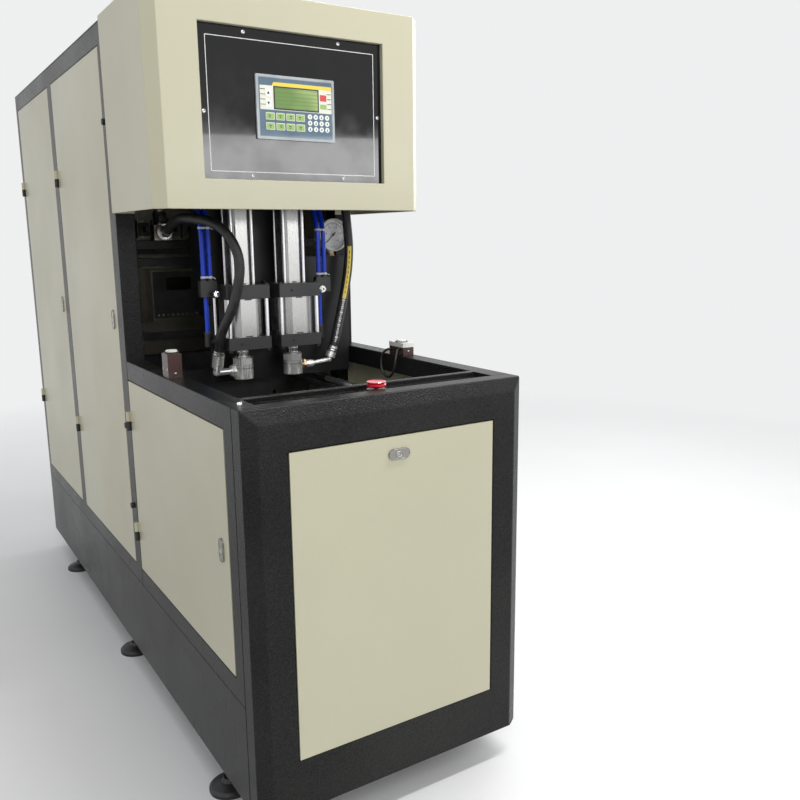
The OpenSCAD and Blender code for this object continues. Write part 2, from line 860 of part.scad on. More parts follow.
// The points that the tubes of one group share: y from the fitting, and the part of the way up.
air_run = [[0, 0], [0, 70], [4, 140], [26, 184], [64, 216], [104, 238], [104, 250]];
air_route = [for (p = air_run) [p[0], mid_fit_z + (manifold_z - mid_fit_z) * p[1] / 250]];
short_tubes = [for (x = [air_x - 9, air_x + 9]) [for (p = air_route) [x, air_y + p[0], p[1]]]];
long_tube = concat([[air_x, air_y + 16, end_fit_z], [air_x, air_y + 16, end_fit_z + 70]],
    [for (p = air_route) [air_x, air_y + 16 + p[0], p[1]]]);

module air_tubes() {
    color([0.05, 0.22, 0.75])
        placed()
            both_sides() {
                for (p = short_tubes)
                    tube_along(p, air_tube_d, 8);
                tube_along(long_tube, air_tube_d, 8);
            }
}

module tube_fittings() {
    port_x = nozzle_pitch / 2 + seal_block / 2;
    color([0.08, 0.08, 0.09])
        placed()
            both_sides() {
                block([air_x - 22, air_y - 12, mid_port_z - 8], [air_x + 22, air_y + 8, mid_fit_z]);
                rod_x(air_y, mid_port_z, port_x, air_x - 22, 7);
                rod_y(port_x + 22, mid_port_z, air_y - 26, air_y - 12, 8);
                rod_z(air_x, air_y + 16, end_port_z - 9, end_fit_z, 8.5);
                rod_x(air_y + 16, end_port_z, port_x, air_x, 7.5);
            }
}

module air_manifold() {
    color([0.6, 0.6, 0.62])
        placed()
            union() {
                block([-air_x - 20, box_l - manifold_d, manifold_z], [in_x - 18, box_l, manifold_z + 50]);
                block([in_x - 58, nozzle_y, manifold_z], [in_x - 18, box_l, manifold_z + 50]);
            }
}

gauge_x = plate_x1 - 45;
gauge_z = plate_wing_z + 60;
gauge_y = plate_y + back_plate_t;

// Gauge: case on a bracket that hooks over the edge of the cylinder plate.
module gauge_case() {
    r = gauge_d / 2;
    color([0.85, 0.85, 0.83])
        placed() {
            difference() {
                rod_y(gauge_x, gauge_z, gauge_y - 18, gauge_y + 18, r);
                rod_y(gauge_x, gauge_z, gauge_y - 19, gauge_y - 10, r - 5);
            }
            rod_y(gauge_x, gauge_z, gauge_y - 13, gauge_y - 10 + eps, 2.5);
            rod_z(gauge_x, gauge_y + 9.3, plate_wing_z - 45, gauge_z - r + 2, 9);
        }
}

module gauge_needle() {
    color([0.1, 0.1, 0.1])
        placed()
            translate([gauge_x, gauge_y - 13.3, gauge_z])
                rotate([90, 0, 0])
                    linear_extrude(1.2)
                        rotate([0, 0, 225])
                            polygon([[-10, -2], [gauge_d / 2 - 14, -0.6], [gauge_d / 2 - 14, 0.6], [-10, 2]]);
}

/* Clamp */

module platen(y, low_z, bore_r) {
    difference() {
        block([-platen_x, y, low_z], [platen_x, y + platen_t, platen_top_z]);
        for (x = [-tie_bar_x, tie_bar_x], z = [tie_bar_low_z, tie_bar_top_z])
            rod_y(x, z, y - 1, y + platen_t + 1, bore_r);
    }
}

module mould_bolts(y0, y1) {
    for (x = [-mould_bolt_x / 2, mould_bolt_x / 2], z = [-mould_bolt_z / 2, mould_bolt_z / 2])
        rod_y(x, platen_mid_z + z, y0, y1, mould_bolt_r);
}

module front_platen() {
    color([0.25, 0.25, 0.26])
        placed()
            platen(front_fix_y, bed_z, tie_bar_d / 2 + running);
}

module rear_platen() {
    color([0.25, 0.25, 0.26])
        placed()
            difference() {
                platen(rear_fix_y, bed_z, tie_bar_d / 2 + running);
                rod_y(0, platen_mid_z, rear_fix_y - 1, rear_fix_y + platen_t + 1, clamp_rod_r + 1);
            }
}

bar_nut_h = 22;

module tie_bars() {
    color([0.8, 0.8, 0.8])
        placed()
            for (x = [-tie_bar_x, tie_bar_x], z = [tie_bar_low_z, tie_bar_top_z]) {
                rod_y(x, z, front_fix_y - bar_nut_h - 6, rear_fix_y + platen_t + bar_nut_h + 6,
                    tie_bar_d / 2);
                for (y = [front_fix_y - bar_nut_h, rear_fix_y + platen_t])
                    translate([x, y + bar_nut_h, z])
                        rotate([90, 0, 0])
                            difference() {
                                cylinder(h = bar_nut_h, r = 34, $fn = 6);
                                translate([0, 0, -1])
                                    cylinder(h = bar_nut_h + 2, r = tie_bar_d / 2);
                            }
            }
}

// Rack outline in y and z: pitch line at z = 0, teeth up, a tooth gap centred on y = 0.
module rack_outline(y0, y1) {
    pitch = PI * tooth_m;
    a = tooth_m * tan(20);
    w = pitch / 4 - tooth_play;
    first = ceil(y0 / pitch - 0.5) + 0.5;
    count = floor((y1 - y0) / pitch) - 1;
    teeth = [for (i = [0:count]) let (c = (first + i) * pitch)
        each [[c - w - 1.25 * a, -1.25 * tooth_m], [c - w + a, tooth_m], [c + w - a, tooth_m],
            [c + w + 1.25 * a, -1.25 * tooth_m]]];
    polygon(concat([[y0, -rack_h], [y0, -1.25 * tooth_m]], teeth,
        [[y1, -1.25 * tooth_m], [y1, -rack_h]]));
}

module front_moving_platen() {
    tip = nozzle_y + rack_reach;
    color([0.25, 0.25, 0.26])
        placed() {
            difference() {
                platen(front_open_y, platen_low_z, tie_bar_d / 2 + running);
                mould_bolts(front_open_y + platen_t - 30, front_open_y + platen_t + 1);
            }
            both_sides() {
                block([rack_front_x, front_open_y, shaft_z + pinion_r + rack_h],
                    [rack_front_x + rack_w, front_open_y + platen_t, platen_low_z]);
                translate([0, nozzle_y, shaft_z + pinion_r])
                    mirror([0, 0, 1])
                        along_x(rack_front_x, rack_w)
                            rack_outline(front_open_y - nozzle_y, tip - nozzle_y);
            }
        }
}

module rear_moving_platen() {
    tip = nozzle_y - rack_reach;
    color([0.25, 0.25, 0.26])
        placed() {
            difference() {
                platen(rear_open_y, platen_low_z, tie_bar_d / 2 + running);
                mould_bolts(rear_open_y - 1, rear_open_y + 30);
            }
            both_sides() {
                block([rack_rear_x, rear_open_y, shaft_z - pinion_r - rack_h],
                    [rack_rear_x + rack_w, rear_open_y + platen_t, platen_low_z]);
                translate([0, nozzle_y, shaft_z - pinion_r])
                    along_x(rack_rear_x, rack_w)
                        rack_outline(tip - nozzle_y, rear_open_y - nozzle_y);
            }
        }
}

// Involute outline of a pinion with a tooth on the +y axis of the drawing.
function involute(a) = (tan(a) - a * PI / 180) * 180 / PI;

module pinion_outline() {
    base_r = pinion_r * cos(20);
    tip_r = pinion_r + tooth_m;
    root_r = pinion_r - 1.25 * tooth_m;
    half = 90 / pinion_teeth - tooth_play / pinion_r * 180 / PI;
    steps = 3;
    radii = [for (i = [0:steps]) base_r + (tip_r - base_r) * i / steps];
    flank = [for (r = radii) [r, half + involute(20) - involute(acos(min(1, base_r / r)))]];
    tooth = concat([[root_r, -flank[0][1]]], [for (f = flank) [f[0], -f[1]]],
        [for (i = [steps:-1:0]) flank[i]], [[root_r, flank[0][1]]]);
    polygon([for (k = [0:pinion_teeth - 1]) each
        [for (q = tooth) let (a = 90 - 360 * k / pinion_teeth - q[1]) q[0] * [cos(a), sin(a)]]]);
}

module sync_shaft() {
    color([0.6, 0.6, 0.6])
        placed()
            translate([0, nozzle_y, shaft_z]) {
                rod_x(0, 0, -shaft_half, shaft_half, shaft_r);
                both_sides()
                    difference() {
                        along_x(rack_front_x - 2, rack_rear_x + rack_w - rack_front_x + 4)
                            pinion_outline();
                        rod_x(0, 0, rack_front_x - 3, shaft_half + 1, shaft_r);
                    }
            }
}

clamp_y = rear_fix_y + platen_t;
clamp_cap = 40;
clamp_l = platen_stroke + 110;

module clamp_cylinder() {
    color([0.5, 0.52, 0.55])
        placed() {
            difference() {
                block([-clamp_plate / 2, clamp_y, platen_mid_z - clamp_plate / 2],
                    [clamp_plate / 2, clamp_y + clamp_cap, platen_mid_z + clamp_plate / 2]);
                rod_y(0, platen_mid_z, clamp_y - 1, clamp_y + clamp_cap + 1, clamp_rod_r + running);
            }
            difference() {
                rod_y(0, platen_mid_z, clamp_y + clamp_cap, clamp_y + clamp_cap + clamp_l,
                    clamp_bore / 2 + 6);
                rod_y(0, platen_mid_z, clamp_y + clamp_cap - 1, clamp_y + clamp_cap + clamp_l + 1,
                    clamp_bore / 2);
            }
            block([-clamp_plate / 2, clamp_y + clamp_cap + clamp_l, platen_mid_z - clamp_plate / 2],
                [clamp_plate / 2, clamp_y + 2 * clamp_cap + clamp_l, platen_mid_z + clamp_plate / 2]);
            for (x = [-1, 1], z = [-1, 1])
                rod_y(x * (clamp_plate / 2 - 10), platen_mid_z + z * (clamp_plate / 2 - 10),
                    clamp_y + clamp_cap, clamp_y + clamp_cap + clamp_l, 8);
        }
}

module clamp_rod() {
    piston_t = 45;
    end_y = clamp_y + clamp_cap + clamp_l - 15;
    color([0.85, 0.85, 0.86])
        placed() {
            rod_y(0, platen_mid_z, rear_open_y + platen_t, end_y - piston_t, clamp_rod_r);
            rod_y(0, platen_mid_z, end_y - piston_t, end_y, clamp_bore / 2 - 0.5);
        }
}

/* Services in the cabinet */

panel_back_y = body_l - 300;

board_z0 = deck_z - 214;
board_z1 = roof_z - 146;
board_h = board_z1 - board_z0;

// Mounting board with four wiring ducts and the devices between them.
module electric_panel() {
    duct_h = 30;
    duct_z = [for (part = [0.15, 0.51, 0.715, 0.935]) board_z0 + part * board_h];
    color([0.82, 0.72, 0.45])
        placed() {
            block([-in_x, panel_back_y, board_z0], [in_x, panel_back_y + sheet, board_z1]);
            both_sides()
                for (z = [board_z0 + 40, board_z1 - 100])
                    block([in_x - 12, panel_back_y, z], [in_x + 12, rear_post_y, z + 40]);
            for (i = [0:4])
                block([-250 + i * 100, panel_back_y - 70, duct_z[2] + 70],
                    [-170 + i * 100, panel_back_y, duct_z[3] - 40]);
            for (i = [0:7])
                block([-250 + i * 60, panel_back_y - 50, duct_z[1] + 60],
                    [-200 + i * 60, panel_back_y, duct_z[2] - 60]);
            block([-250, panel_back_y - 60, duct_z[0] + 100], [-60, panel_back_y, duct_z[1] - 60]);
            block([20, panel_back_y - 90, duct_z[0] + 80], [230, panel_back_y, duct_z[1] - 60]);
            for (z = duct_z)
                block([-in_x + 20, panel_back_y - 40, z], [in_x - 20, panel_back_y, z + duct_h]);
        }
}

// Air tank on two saddles, with the pipe to the inlet coupling in the rear panel.
module air_tank() {
    y0 = clamp_y + 2 * clamp_cap + clamp_l + 30;
    y1 = body_l - 130;
    pipe_y = y1 - 60;
    color([0.3, 0.42, 0.55])
        placed() {
            rod_y(0, tank_z, y0, y1, tank_d / 2);
            for (y = [y0 + 50, y1 - 50 - saddle_l])
                difference() {
                    along_y(y, saddle_l)
                        polygon([[-in_x, base_z], [in_x, base_z], [in_x, base_z + saddle_h],
                            [110, base_z + saddle_h], [110, tank_z - 40], [-110, tank_z - 40],
                            [-110, base_z + saddle_h], [-in_x, base_z + saddle_h]]);
                    rod_y(0, tank_z, y - 1, y + saddle_l + 1, tank_d / 2);
                }
            difference() {
                union() {
                    rod_x(pipe_y, inlet_z, 60, inlet_x, 10);
                    rod_y(inlet_x, inlet_z, pipe_y - 12, body_l + inlet_proud, inlet_r + 5);
                }
                rod_y(inlet_x, inlet_z, body_l + inlet_proud - 30, body_l + inlet_proud + 1, inlet_r);
                rod_y(0, tank_z, y0, y1, tank_d / 2);
            }
        }
}

/* Doors, hinges and locks */

function hinge_zs(door) = [door[2] + door[4], door[3] - door[4] - 2 * hinge_h];
function hinge_y(door) = door[1] - door_gap / 2;

module hinge_pins() {
    color([0.1, 0.1, 0.1])
        placed() {
            both_sides() {
                for (door = [lower_door, front_door, rear_door], z = hinge_zs(door)) {
                    rod_z(hinge_x, hinge_y(door), z, z + hinge_h, hinge_r);
                    rod_z(hinge_x, hinge_y(door), z + hinge_h, z + 2 * hinge_h - 4, hinge_pin_r);
                    block([half_w, hinge_y(door), z], [half_w + 3, hinge_y(door) + 14, z + hinge_h]);
                }
                for (z = cap_zs)
                    rod_x(box_l + 41, z, half_w, half_w + 7, 8);
            }
        }
}

cap_zs = [556, 789, 1599];

// A door: folded tray, hinge leaves and barrels, oval lock plate.
module door_shape(door) {
    y0 = door[0] + door_gap;
    y1 = door[1] - door_gap;
    z0 = door[2] + door_gap;
    z1 = door[3] - door_gap;
    lock_y = door[0] + lock_in;
    difference() {
        block([half_w - door_fold, y0, z0], [half_w, y1, z1]);
        block([half_w - door_fold - 1, y0 + door_t, z0 + door_t], [half_w - door_t, y1 - door_t, z1 - door_t]);
        rod_x(lock_y, door[5], half_w - door_t - 1, half_w + 1, lock_r + 1);
    }
    for (z = hinge_zs(door))
        difference() {
            union() {
                rod_z(hinge_x, hinge_y(door), z + hinge_h + 0.5, z + 2 * hinge_h, hinge_r);
                block([half_w - eps, y1 - 14, z + hinge_h + 0.5], [half_w + 3, hinge_y(door), z + 2 * hinge_h]);
            }
            rod_z(hinge_x, hinge_y(door), z + hinge_h, z + 2 * hinge_h - 3.5, hinge_pin_r + running);
            block([half_w - door_fold, y1, z], [half_w - 0.5, y1 + 8, z + 2 * hinge_h + 1]);
        }
    difference() {
        translate([half_w, lock_y, door[5]])
            rotate([90, 0, 90])
                oval_plate();
        rod_x(lock_y, door[5], half_w - 1, half_w + oval_t + 1, lock_r + running);
    }
}

// The oval plate round a lock, standing upright.
module oval_plate() {
    resize_y = (oval_l - oval_w) / 2;
    linear_extrude(oval_t)
        union() {
            square([oval_w, 2 * resize_y], center = true);
            for (s = [-1, 1])
                translate([0, s * resize_y])
                    circle(d = oval_w);
        }
}

module door(side, door) {
    color([0.76, 0.74, 0.65])
        placed()
            on_side(side)
                door_shape(door);
}

// A lock: barrel with its key slot, and the cam at rest along the door's edge.
module lock_shape(x_out) {
    depth = x_out - cam_x;
    difference() {
        rod_x(0, 0, -depth - cam_t, oval_t, lock_r);
        block([oval_t - 2, -0.8, -4.5], [oval_t + 1, 0.8, 4.5]);
    }
    block([-depth, -cam_w / 2, -cam_l], [-depth + cam_t, cam_w / 2, cam_w / 2]);
}

module door_lock(side, door) {
    color([0.8, 0.8, 0.8])
        placed()
            on_side(side)
                translate([half_w, door[0] + lock_in, door[5]])
                    lock_shape(half_w);
}

panel_lock_z = 842;

// The lift-off front panel: folded tray with two hooks at its lower edge.
module front_panel() {
    x = panel_w / 2;
    z0 = panel_z;
    z1 = panel_z + panel_h;
    color([0.78, 0.76, 0.67])
        placed() {
            difference() {
                block([-x, 0, z0], [x, door_fold, z1]);
                block([-x + door_t, door_t, z0 + door_t], [x - door_t, door_fold + 1, z1 - door_t]);
                rod_y(0, panel_lock_z, -1, door_t + 1, lock_r + 1);
            }
            for (a = [-180, 150])
                block([a, sheet + 0.3, z0 - 12], [a + 30, sheet + 2.3, z0 + door_t]);
            difference() {
                translate([0, 0, panel_lock_z])
                    rotate([90, 90, 0])
                        oval_plate();
                rod_y(0, panel_lock_z, -oval_t - 1, 1, lock_r + running);
            }
        }
}

module front_panel_lock() {
    color([0.8, 0.8, 0.8])
        placed()
            translate([0, 0, panel_lock_z])
                rotate([90, 0, -90])
                    lock_shape(half_w);
}

/* Switches */

switch_y = 490;
box_w = 34;
box_len = 72;
switch_h = 44;

// Start switch boxes: upright on the left rail, lying on the right rail.
module switch_boxes() {
    color([0.12, 0.09, 0.08])
        placed() {
            difference() {
                block([-half_w + 6, switch_y - 22, deck_z], [-half_w + 6 + box_w, switch_y + 22, deck_z + 58]);
                rod_z(-half_w + 6 + box_w / 2, switch_y, deck_z + 30, deck_z + 59, button_r + 0.5);
            }
            difference() {
                block([in_x + 6, switch_y - box_len / 2, deck_z],
                    [in_x + 6 + box_w, switch_y + box_len / 2, deck_z + switch_h - 10]);
                rod_z(in_x + 6 + box_w / 2, switch_y, deck_z + 10, deck_z + switch_h, button_r + 0.5);
            }
            difference() {
                rod_z(0, stop_y, deck_z - tray_d, deck_z - tray_d + stop_ring_h, stop_r);
                rod_z(0, stop_y, deck_z - tray_d - 1, deck_z, stop_stem_r + 0.5);
            }
        }
}

stop_y = 90;
stop_ring_h = 8;
stop_stem_r = 5;

// The loop of cable beside the right switch box, both ends in its inner face.
cable_d = 7;
cable_route = [[in_x + 6, 516, 988], [in_x + 1, 516, 988], [in_x - 6, 521, 986], [in_x - 14, 529, 976], [in_x - 18, 532, 957],
    [in_x - 20, 528, 935], [in_x - 20, 515, 919], [in_x - 20, 495, 913], [in_x - 20, 475, 921],
    [in_x - 19, 463, 939], [in_x - 16, 461, 960], [in_x - 11, 464, 978], [in_x - 5, 468, 988],
    [in_x + 1, 472, 990], [in_x + 6, 472, 990]];

module switch_cable() {
    color([0.04, 0.04, 0.04])
        placed()
            tube_along(cable_route, cable_d, 8);
}

module start_button(side) {
    x = side < 0 ? -half_w + 6 + box_w / 2 : in_x + 6 + box_w / 2;
    top = side < 0 ? deck_z + 58 : deck_z + switch_h - 10;
    color([0.9, 0.9, 0.88])
        placed()
            translate([x, switch_y, top])
                rotate_extrude()
                    polygon([[0, -12], [button_r, -12], [button_r, 4], [button_r - 2, 6], [0, 6]]);
}

module stop_button() {
    color([0.75, 0.05, 0.08])
        placed()
            translate([0, stop_y, deck_z - tray_d + stop_ring_h + stop_travel + 0.3])
                rotate_extrude()
                    polygon([[0, 0.3 - stop_ring_h], [stop_stem_r, 0.3 - stop_ring_h], [stop_stem_r, 0],
                        [stop_r - 4, 0], [stop_r, 3], [stop_r, 6], [stop_r - 5, 10], [0, 11]]);
}

base_plinth();
levelling_feet();
front_bezel();
lower_frame();
cabinet_frame();
roof_sheet();
rear_panel();
bed_beams();
head_box();
control_panel();
controller();
shelf_beams();
cylinder_plate();
cylinder_blocks();
cylinder_barrels();
cylinder_tie_rods();
seal_rod(-1);  // left_seal_rod
seal_rod(1);  // right_seal_rod
blow_nozzle(-1);  // left_blow_nozzle
blow_nozzle(1);  // right_blow_nozzle
stretch_rod(-1);  // left_stretch_rod
stretch_rod(1);  // right_stretch_rod
blow_valves();
left_blow_hose();
right_blow_hose();
air_tubes();
switch_cable();
tube_fittings();
air_manifold();
gauge_case();
gauge_needle();
front_platen();
rear_platen();
tie_bars();
front_moving_platen();
rear_moving_platen();
sync_shaft();
clamp_cylinder();
clamp_rod();
electric_panel();
air_tank();
hinge_pins();
door(-1, front_door);  // left_front_door
door(1, front_door);  // right_front_door
door(-1, rear_door);  // left_rear_door
door(1, rear_door);  // right_rear_door
door(-1, lower_door);  // left_lower_door
door(1, lower_door);  // right_lower_door
front_panel();
door_lock(-1, front_door);  // left_front_lock
door_lock(1, front_door);  // right_front_lock
door_lock(-1, rear_door);  // left_rear_lock
door_lock(1, rear_door);  // right_rear_lock
door_lock(-1, lower_door);  // left_lower_lock
door_lock(1, lower_door);  // right_lower_lock
front_panel_lock();
switch_boxes();
start_button(-1);  // left_start_button
start_button(1);  // right_start_button
stop_button();
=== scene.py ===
"""Looks of the blow moulding machine.

Lengths are in metres, and y counts from the machine's front face.
"""

import math
from contextlib import contextmanager

import bmesh
import bpy
from mathutils import Matrix, Vector


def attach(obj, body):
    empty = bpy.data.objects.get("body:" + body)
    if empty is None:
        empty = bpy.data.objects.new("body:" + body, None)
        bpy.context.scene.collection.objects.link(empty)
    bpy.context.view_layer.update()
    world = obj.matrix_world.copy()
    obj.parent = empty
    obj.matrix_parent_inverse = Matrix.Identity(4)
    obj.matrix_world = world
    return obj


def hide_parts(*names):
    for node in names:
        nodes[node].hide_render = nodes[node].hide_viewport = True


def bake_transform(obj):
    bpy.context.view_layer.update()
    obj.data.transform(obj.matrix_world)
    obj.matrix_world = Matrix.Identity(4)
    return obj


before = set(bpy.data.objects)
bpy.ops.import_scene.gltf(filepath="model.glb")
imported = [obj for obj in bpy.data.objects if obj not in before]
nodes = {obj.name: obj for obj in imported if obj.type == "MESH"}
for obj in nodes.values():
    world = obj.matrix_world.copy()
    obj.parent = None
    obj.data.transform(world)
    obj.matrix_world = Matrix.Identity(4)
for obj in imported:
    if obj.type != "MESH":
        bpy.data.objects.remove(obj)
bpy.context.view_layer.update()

# Row y of the machine's front face
FRONT_Y = -1.116
UP, FRONT, BACK = (0, 0, 1), (0, -1, 0), (0, 1, 0)
SIDES = (("left", -1), ("right", 1))


def at(x, y, z):
    """A point in the row frame, from x, the distance behind the front face, and height."""
    return Vector((x, y + FRONT_Y, z))


def link_object(name, data):
    """An object in the scene that shows the data."""
    made = bpy.data.objects.new(name, data)
    bpy.context.scene.collection.objects.link(made)
    return made


# Camera

CAMERA_AT = Vector((-0.9204, -2.5657, 1.2977))
CAMERA_YAW = 0.56767
CAMERA_PITCH = 0.19484
CAMERA_ROLL = -0.0106
CAMERA_LENS = 37.24


def make_camera():
    forward = Vector((math.sin(CAMERA_YAW) * math.cos(CAMERA_PITCH),
                      math.cos(CAMERA_YAW) * math.cos(CAMERA_PITCH), -math.sin(CAMERA_PITCH)))
    right = forward.cross(Vector(UP)).normalized()
    up = right.cross(forward)
    turned_right = math.cos(CAMERA_ROLL) * right + math.sin(CAMERA_ROLL) * up
    turned_up = math.cos(CAMERA_ROLL) * up - math.sin(CAMERA_ROLL) * right
    data = bpy.data.cameras.new("camera")
    data.lens = CAMERA_LENS
    data.sensor_width = 36
    data.clip_start = 0.05
    data.clip_end = 100
    camera = link_object("camera", data)
    turn = Matrix((turned_right, turned_up, -forward)).transposed().to_4x4()
    camera.matrix_world = Matrix.Translation(CAMERA_AT) @ turn
    bpy.context.scene.camera = camera


make_camera()

# Materials

# Colour sockets of the Mix node
MIX_FIRST, MIX_SECOND, MIX_RESULT = 6, 7, 2


def add_node(tree, kind, inputs=None, **settings):
    """Adds a node. Its inputs are values, or the outputs of other nodes."""
    made = tree.nodes.new(kind)
    for key, value in settings.items():
        setattr(made, key, value)
    for socket, value in (inputs or {}).items():
        if isinstance(value, bpy.types.NodeSocket):
            tree.links.new(value, made.inputs[socket])
        else:
            made.inputs[socket].default_value = value
    return made


def dim(color, share):
    return tuple(c * share for c in color)


class Shader:
    """A Principled material and short ways to add nodes to it."""

    def __init__(self, name, color, roughness, metallic=0.0, coat=0.0):
        self.mat = bpy.data.materials.new(name)
        self.mat.use_nodes = True
        self.tree = self.mat.node_tree
        self.bsdf = self.tree.nodes["Principled BSDF"]
        self.set("Base Color", (*color, 1))
        self.set("Roughness", roughness)
        self.set("Metallic", metallic)
        self.set("Coat Weight", coat)
        self.coords = self.node("ShaderNodeTexCoord").outputs["Object"]
        self.mat.diffuse_color = (*color, 1)

    def set(self, socket, value):
        self.bsdf.inputs[socket].default_value = value

    def node(self, kind, inputs=None, **settings):
        return add_node(self.tree, kind, inputs, **settings)

    def drive(self, socket, out):
        self.tree.links.new(out, self.bsdf.inputs[socket])

    def stretched(self, scale):
        return self.node("ShaderNodeMapping", {"Scale": scale, "Vector": self.coords}).outputs[0]

    def noise(self, scale, detail, roughness=0.55, vector=None):
        return self.node("ShaderNodeTexNoise", {
            "Scale": scale, "Detail": detail, "Roughness": roughness,
            "Vector": vector or self.coords}).outputs["Fac"]

    def cells(self, scale, smoothness):
        return self.node("ShaderNodeTexVoronoi", {
            "Scale": scale, "Smoothness": smoothness, "Vector": self.coords},
            feature="SMOOTH_F1").outputs["Distance"]

    def bands(self, direction, scale, distortion):
        return self.node("ShaderNodeTexWave", {
            "Scale": scale, "Distortion": distortion, "Vector": self.coords},
            wave_type="BANDS", bands_direction=direction).outputs["Fac"]

    def spread(self, value, low, high, to_low, to_high):
        return self.node("ShaderNodeMapRange", {
            "From Min": low, "From Max": high, "To Min": to_low, "To Max": to_high,
            "Value": value}).outputs["Result"]

    def mix(self, factor, first, second):
        first, second = [(*c, 1) if isinstance(c, tuple) else c for c in (first, second)]
        return self.node("ShaderNodeMix", {0: factor, MIX_FIRST: first, MIX_SECOND: second},
                         data_type="RGBA").outputs[MIX_RESULT]

    def join(self, first, second, operation="ADD"):
        return self.node("ShaderNodeMath", {0: first, 1: second}, operation=operation).outputs[0]

    def bump(self, height, strength, distance):
        self.drive("Normal", self.node("ShaderNodeBump", {
            "Strength": strength, "Distance": distance, "Height": height}).outputs["Normal"])

    def tint(self, pattern, low, high, first, second):
        """Takes the colour from the first to the second between two levels of a pattern."""
        self.drive("Base Color", self.mix(self.spread(pattern, low, high, 0, 1), first, second))

    def gloss(self, pattern, low, high, smooth, rough):
        """Takes the roughness between two values from a pattern."""
        self.drive("Roughness", self.spread(pattern, low, high, smooth, rough))


def hammertone():
    """Near-black hammertone enamel: small dimples, with fine lighter grains between them."""
    s = Shader("hammertone_black", (0.014, 0.0145, 0.013), 0.28)
    s.set("Specular IOR Level", 0.15)
    dimples = s.cells(300, 0.8)
    grains = s.noise(480, detail=5)
    clouds = s.noise(3.0, detail=2)
    s.tint(s.join(grains, s.join(clouds, 0.35, "MULTIPLY")), 0.56, 0.9,
           (0.0045, 0.0048, 0.0042), (0.028, 0.0292, 0.027))
    s.gloss(clouds, 0.3, 0.7, 0.22, 0.33)
    s.bump(s.join(dimples, s.join(grains, 0.35, "MULTIPLY")), 0.6, 0.0013)
    return s.mat


def orange_peel(name, color, dark, peel=420):
    """Thick enamel with an orange-peel skin and a faint speckle."""
    s = Shader(name, color, 0.34, coat=0.12)
    s.set("Specular IOR Level", 0.35)
    s.set("Coat Roughness", 0.16)
    skin = s.noise(peel, detail=2.5)
    clouds = s.noise(2.2, detail=3)
    fleck = s.spread(s.noise(900, detail=3), 0.54, 0.72, 0, 0.55)
    shade = s.mix(fleck, color, dark)
    s.drive("Base Color", s.mix(s.spread(clouds, 0.35, 0.75, 0, 0.35), shade, dark))
    s.gloss(clouds, 0.3, 0.7, 0.29, 0.42)
    s.bump(skin, 0.4, 0.0005)
    return s.mat


def drawn_metal(name, color, roughness, along, metallic=1.0, dull=0.86, depth=0.0002):
    """Metal with fine lines along one axis."""
    s = Shader(name, color, roughness, metallic=metallic)
    lines = s.noise(1.0, detail=4, vector=s.stretched([14 if a == along else 900 for a in "xyz"]))
    clouds = s.noise(9, detail=3)
    s.tint(lines, 0.35, 0.65, dim(color, dull), color)
    s.drive("Roughness", s.join(s.spread(lines, 0.3, 0.7, roughness - 0.04, roughness + 0.05),
                                s.spread(clouds, 0.3, 0.7, -0.03, 0.05)))
    s.bump(lines, 0.12, depth)
    return s.mat


def polished(name, color, roughness):
    """Plated or polished steel with faint smears."""
    s = Shader(name, color, roughness, metallic=1.0)
    smear = s.noise(28, detail=5, roughness=0.65)
    s.gloss(smear, 0.35, 0.7, roughness, roughness + 0.13)
    s.tint(smear, 0.4, 0.7, color, dim(color, 0.88))
    s.bump(s.noise(240, detail=2), 0.05, 0.0001)
    return s.mat


def moulded(name, color, roughness, grain=700, depth=0.00012, coat=0.0, worn=0.75, specular=0.5):
    """Plastic, rubber or anodised metal with a fine grain and uneven sheen."""
    s = Shader(name, color, roughness, coat=coat)
    s.set("Specular IOR Level", specular)
    clouds = s.noise(14, detail=4)
    s.tint(clouds, 0.35, 0.7, color, dim(color, worn))
    s.gloss(clouds, 0.3, 0.7, roughness - 0.06, roughness + 0.08)
    s.bump(s.noise(grain, detail=3), 0.35, depth)
    return s.mat


def machined(name, color, roughness, metallic=0.85):
    """Ground and blackened steel: crossing grind marks and darker stains."""
    s = Shader(name, color, roughness, metallic=metallic)
    stains = s.noise(12, detail=6, roughness=0.7)
    s.tint(stains, 0.35, 0.7, color, dim(color, 0.55))
    s.gloss(stains, 0.3, 0.7, roughness - 0.08, roughness + 0.12)
    s.bump(s.noise(1.0, detail=3, vector=s.stretched((60, 500, 500))), 0.15, 0.0002)
    return s.mat


def braided_rubber():
    """Smooth hose rubber over a braid that shows as a faint diagonal relief."""
    s = Shader("hose_rubber", (0.014, 0.013, 0.013), 0.46)
    dust = s.noise(60, detail=5)
    s.tint(dust, 0.45, 0.75, (0.013, 0.012, 0.012), (0.035, 0.032, 0.03))
    s.gloss(dust, 0.3, 0.7, 0.4, 0.56)
    s.bump(s.join(s.bands("DIAGONAL", 130, 1.5), s.join(dust, 0.6, "MULTIPLY")), 0.3, 0.0003)
    return s.mat


def clear_glass(name):
    """Thin window glass: almost no body, with a bright and slightly smeared surface."""
    s = Shader(name, (0.95, 0.97, 0.96), 0.04)
    s.set("Alpha", 0.06)
    s.gloss(s.noise(35, detail=4), 0.4, 0.8, 0.03, 0.1)
    return s.mat


def lcd_glass():
    """Green display with faint dark rows under a glossy window."""
    s = Shader("display", (0.25, 0.4, 0.1), 0.08, coat=1.0)
    glow = s.spread(s.noise(9, detail=1), 0.35, 0.65, 0, 1)
    green = s.mix(glow, (0.13, 0.24, 0.05), (0.42, 0.52, 0.2))
    rows = s.spread(s.bands("Z", 36, 0.0), 0.55, 0.8, 0, 0.35)
    s.drive("Base Color", s.mix(rows, green, (0.1, 0.17, 0.05)))
    return s.mat


BEIGE = (0.5, 0.476, 0.346)
BEIGE_SHADE = (0.405, 0.386, 0.286)

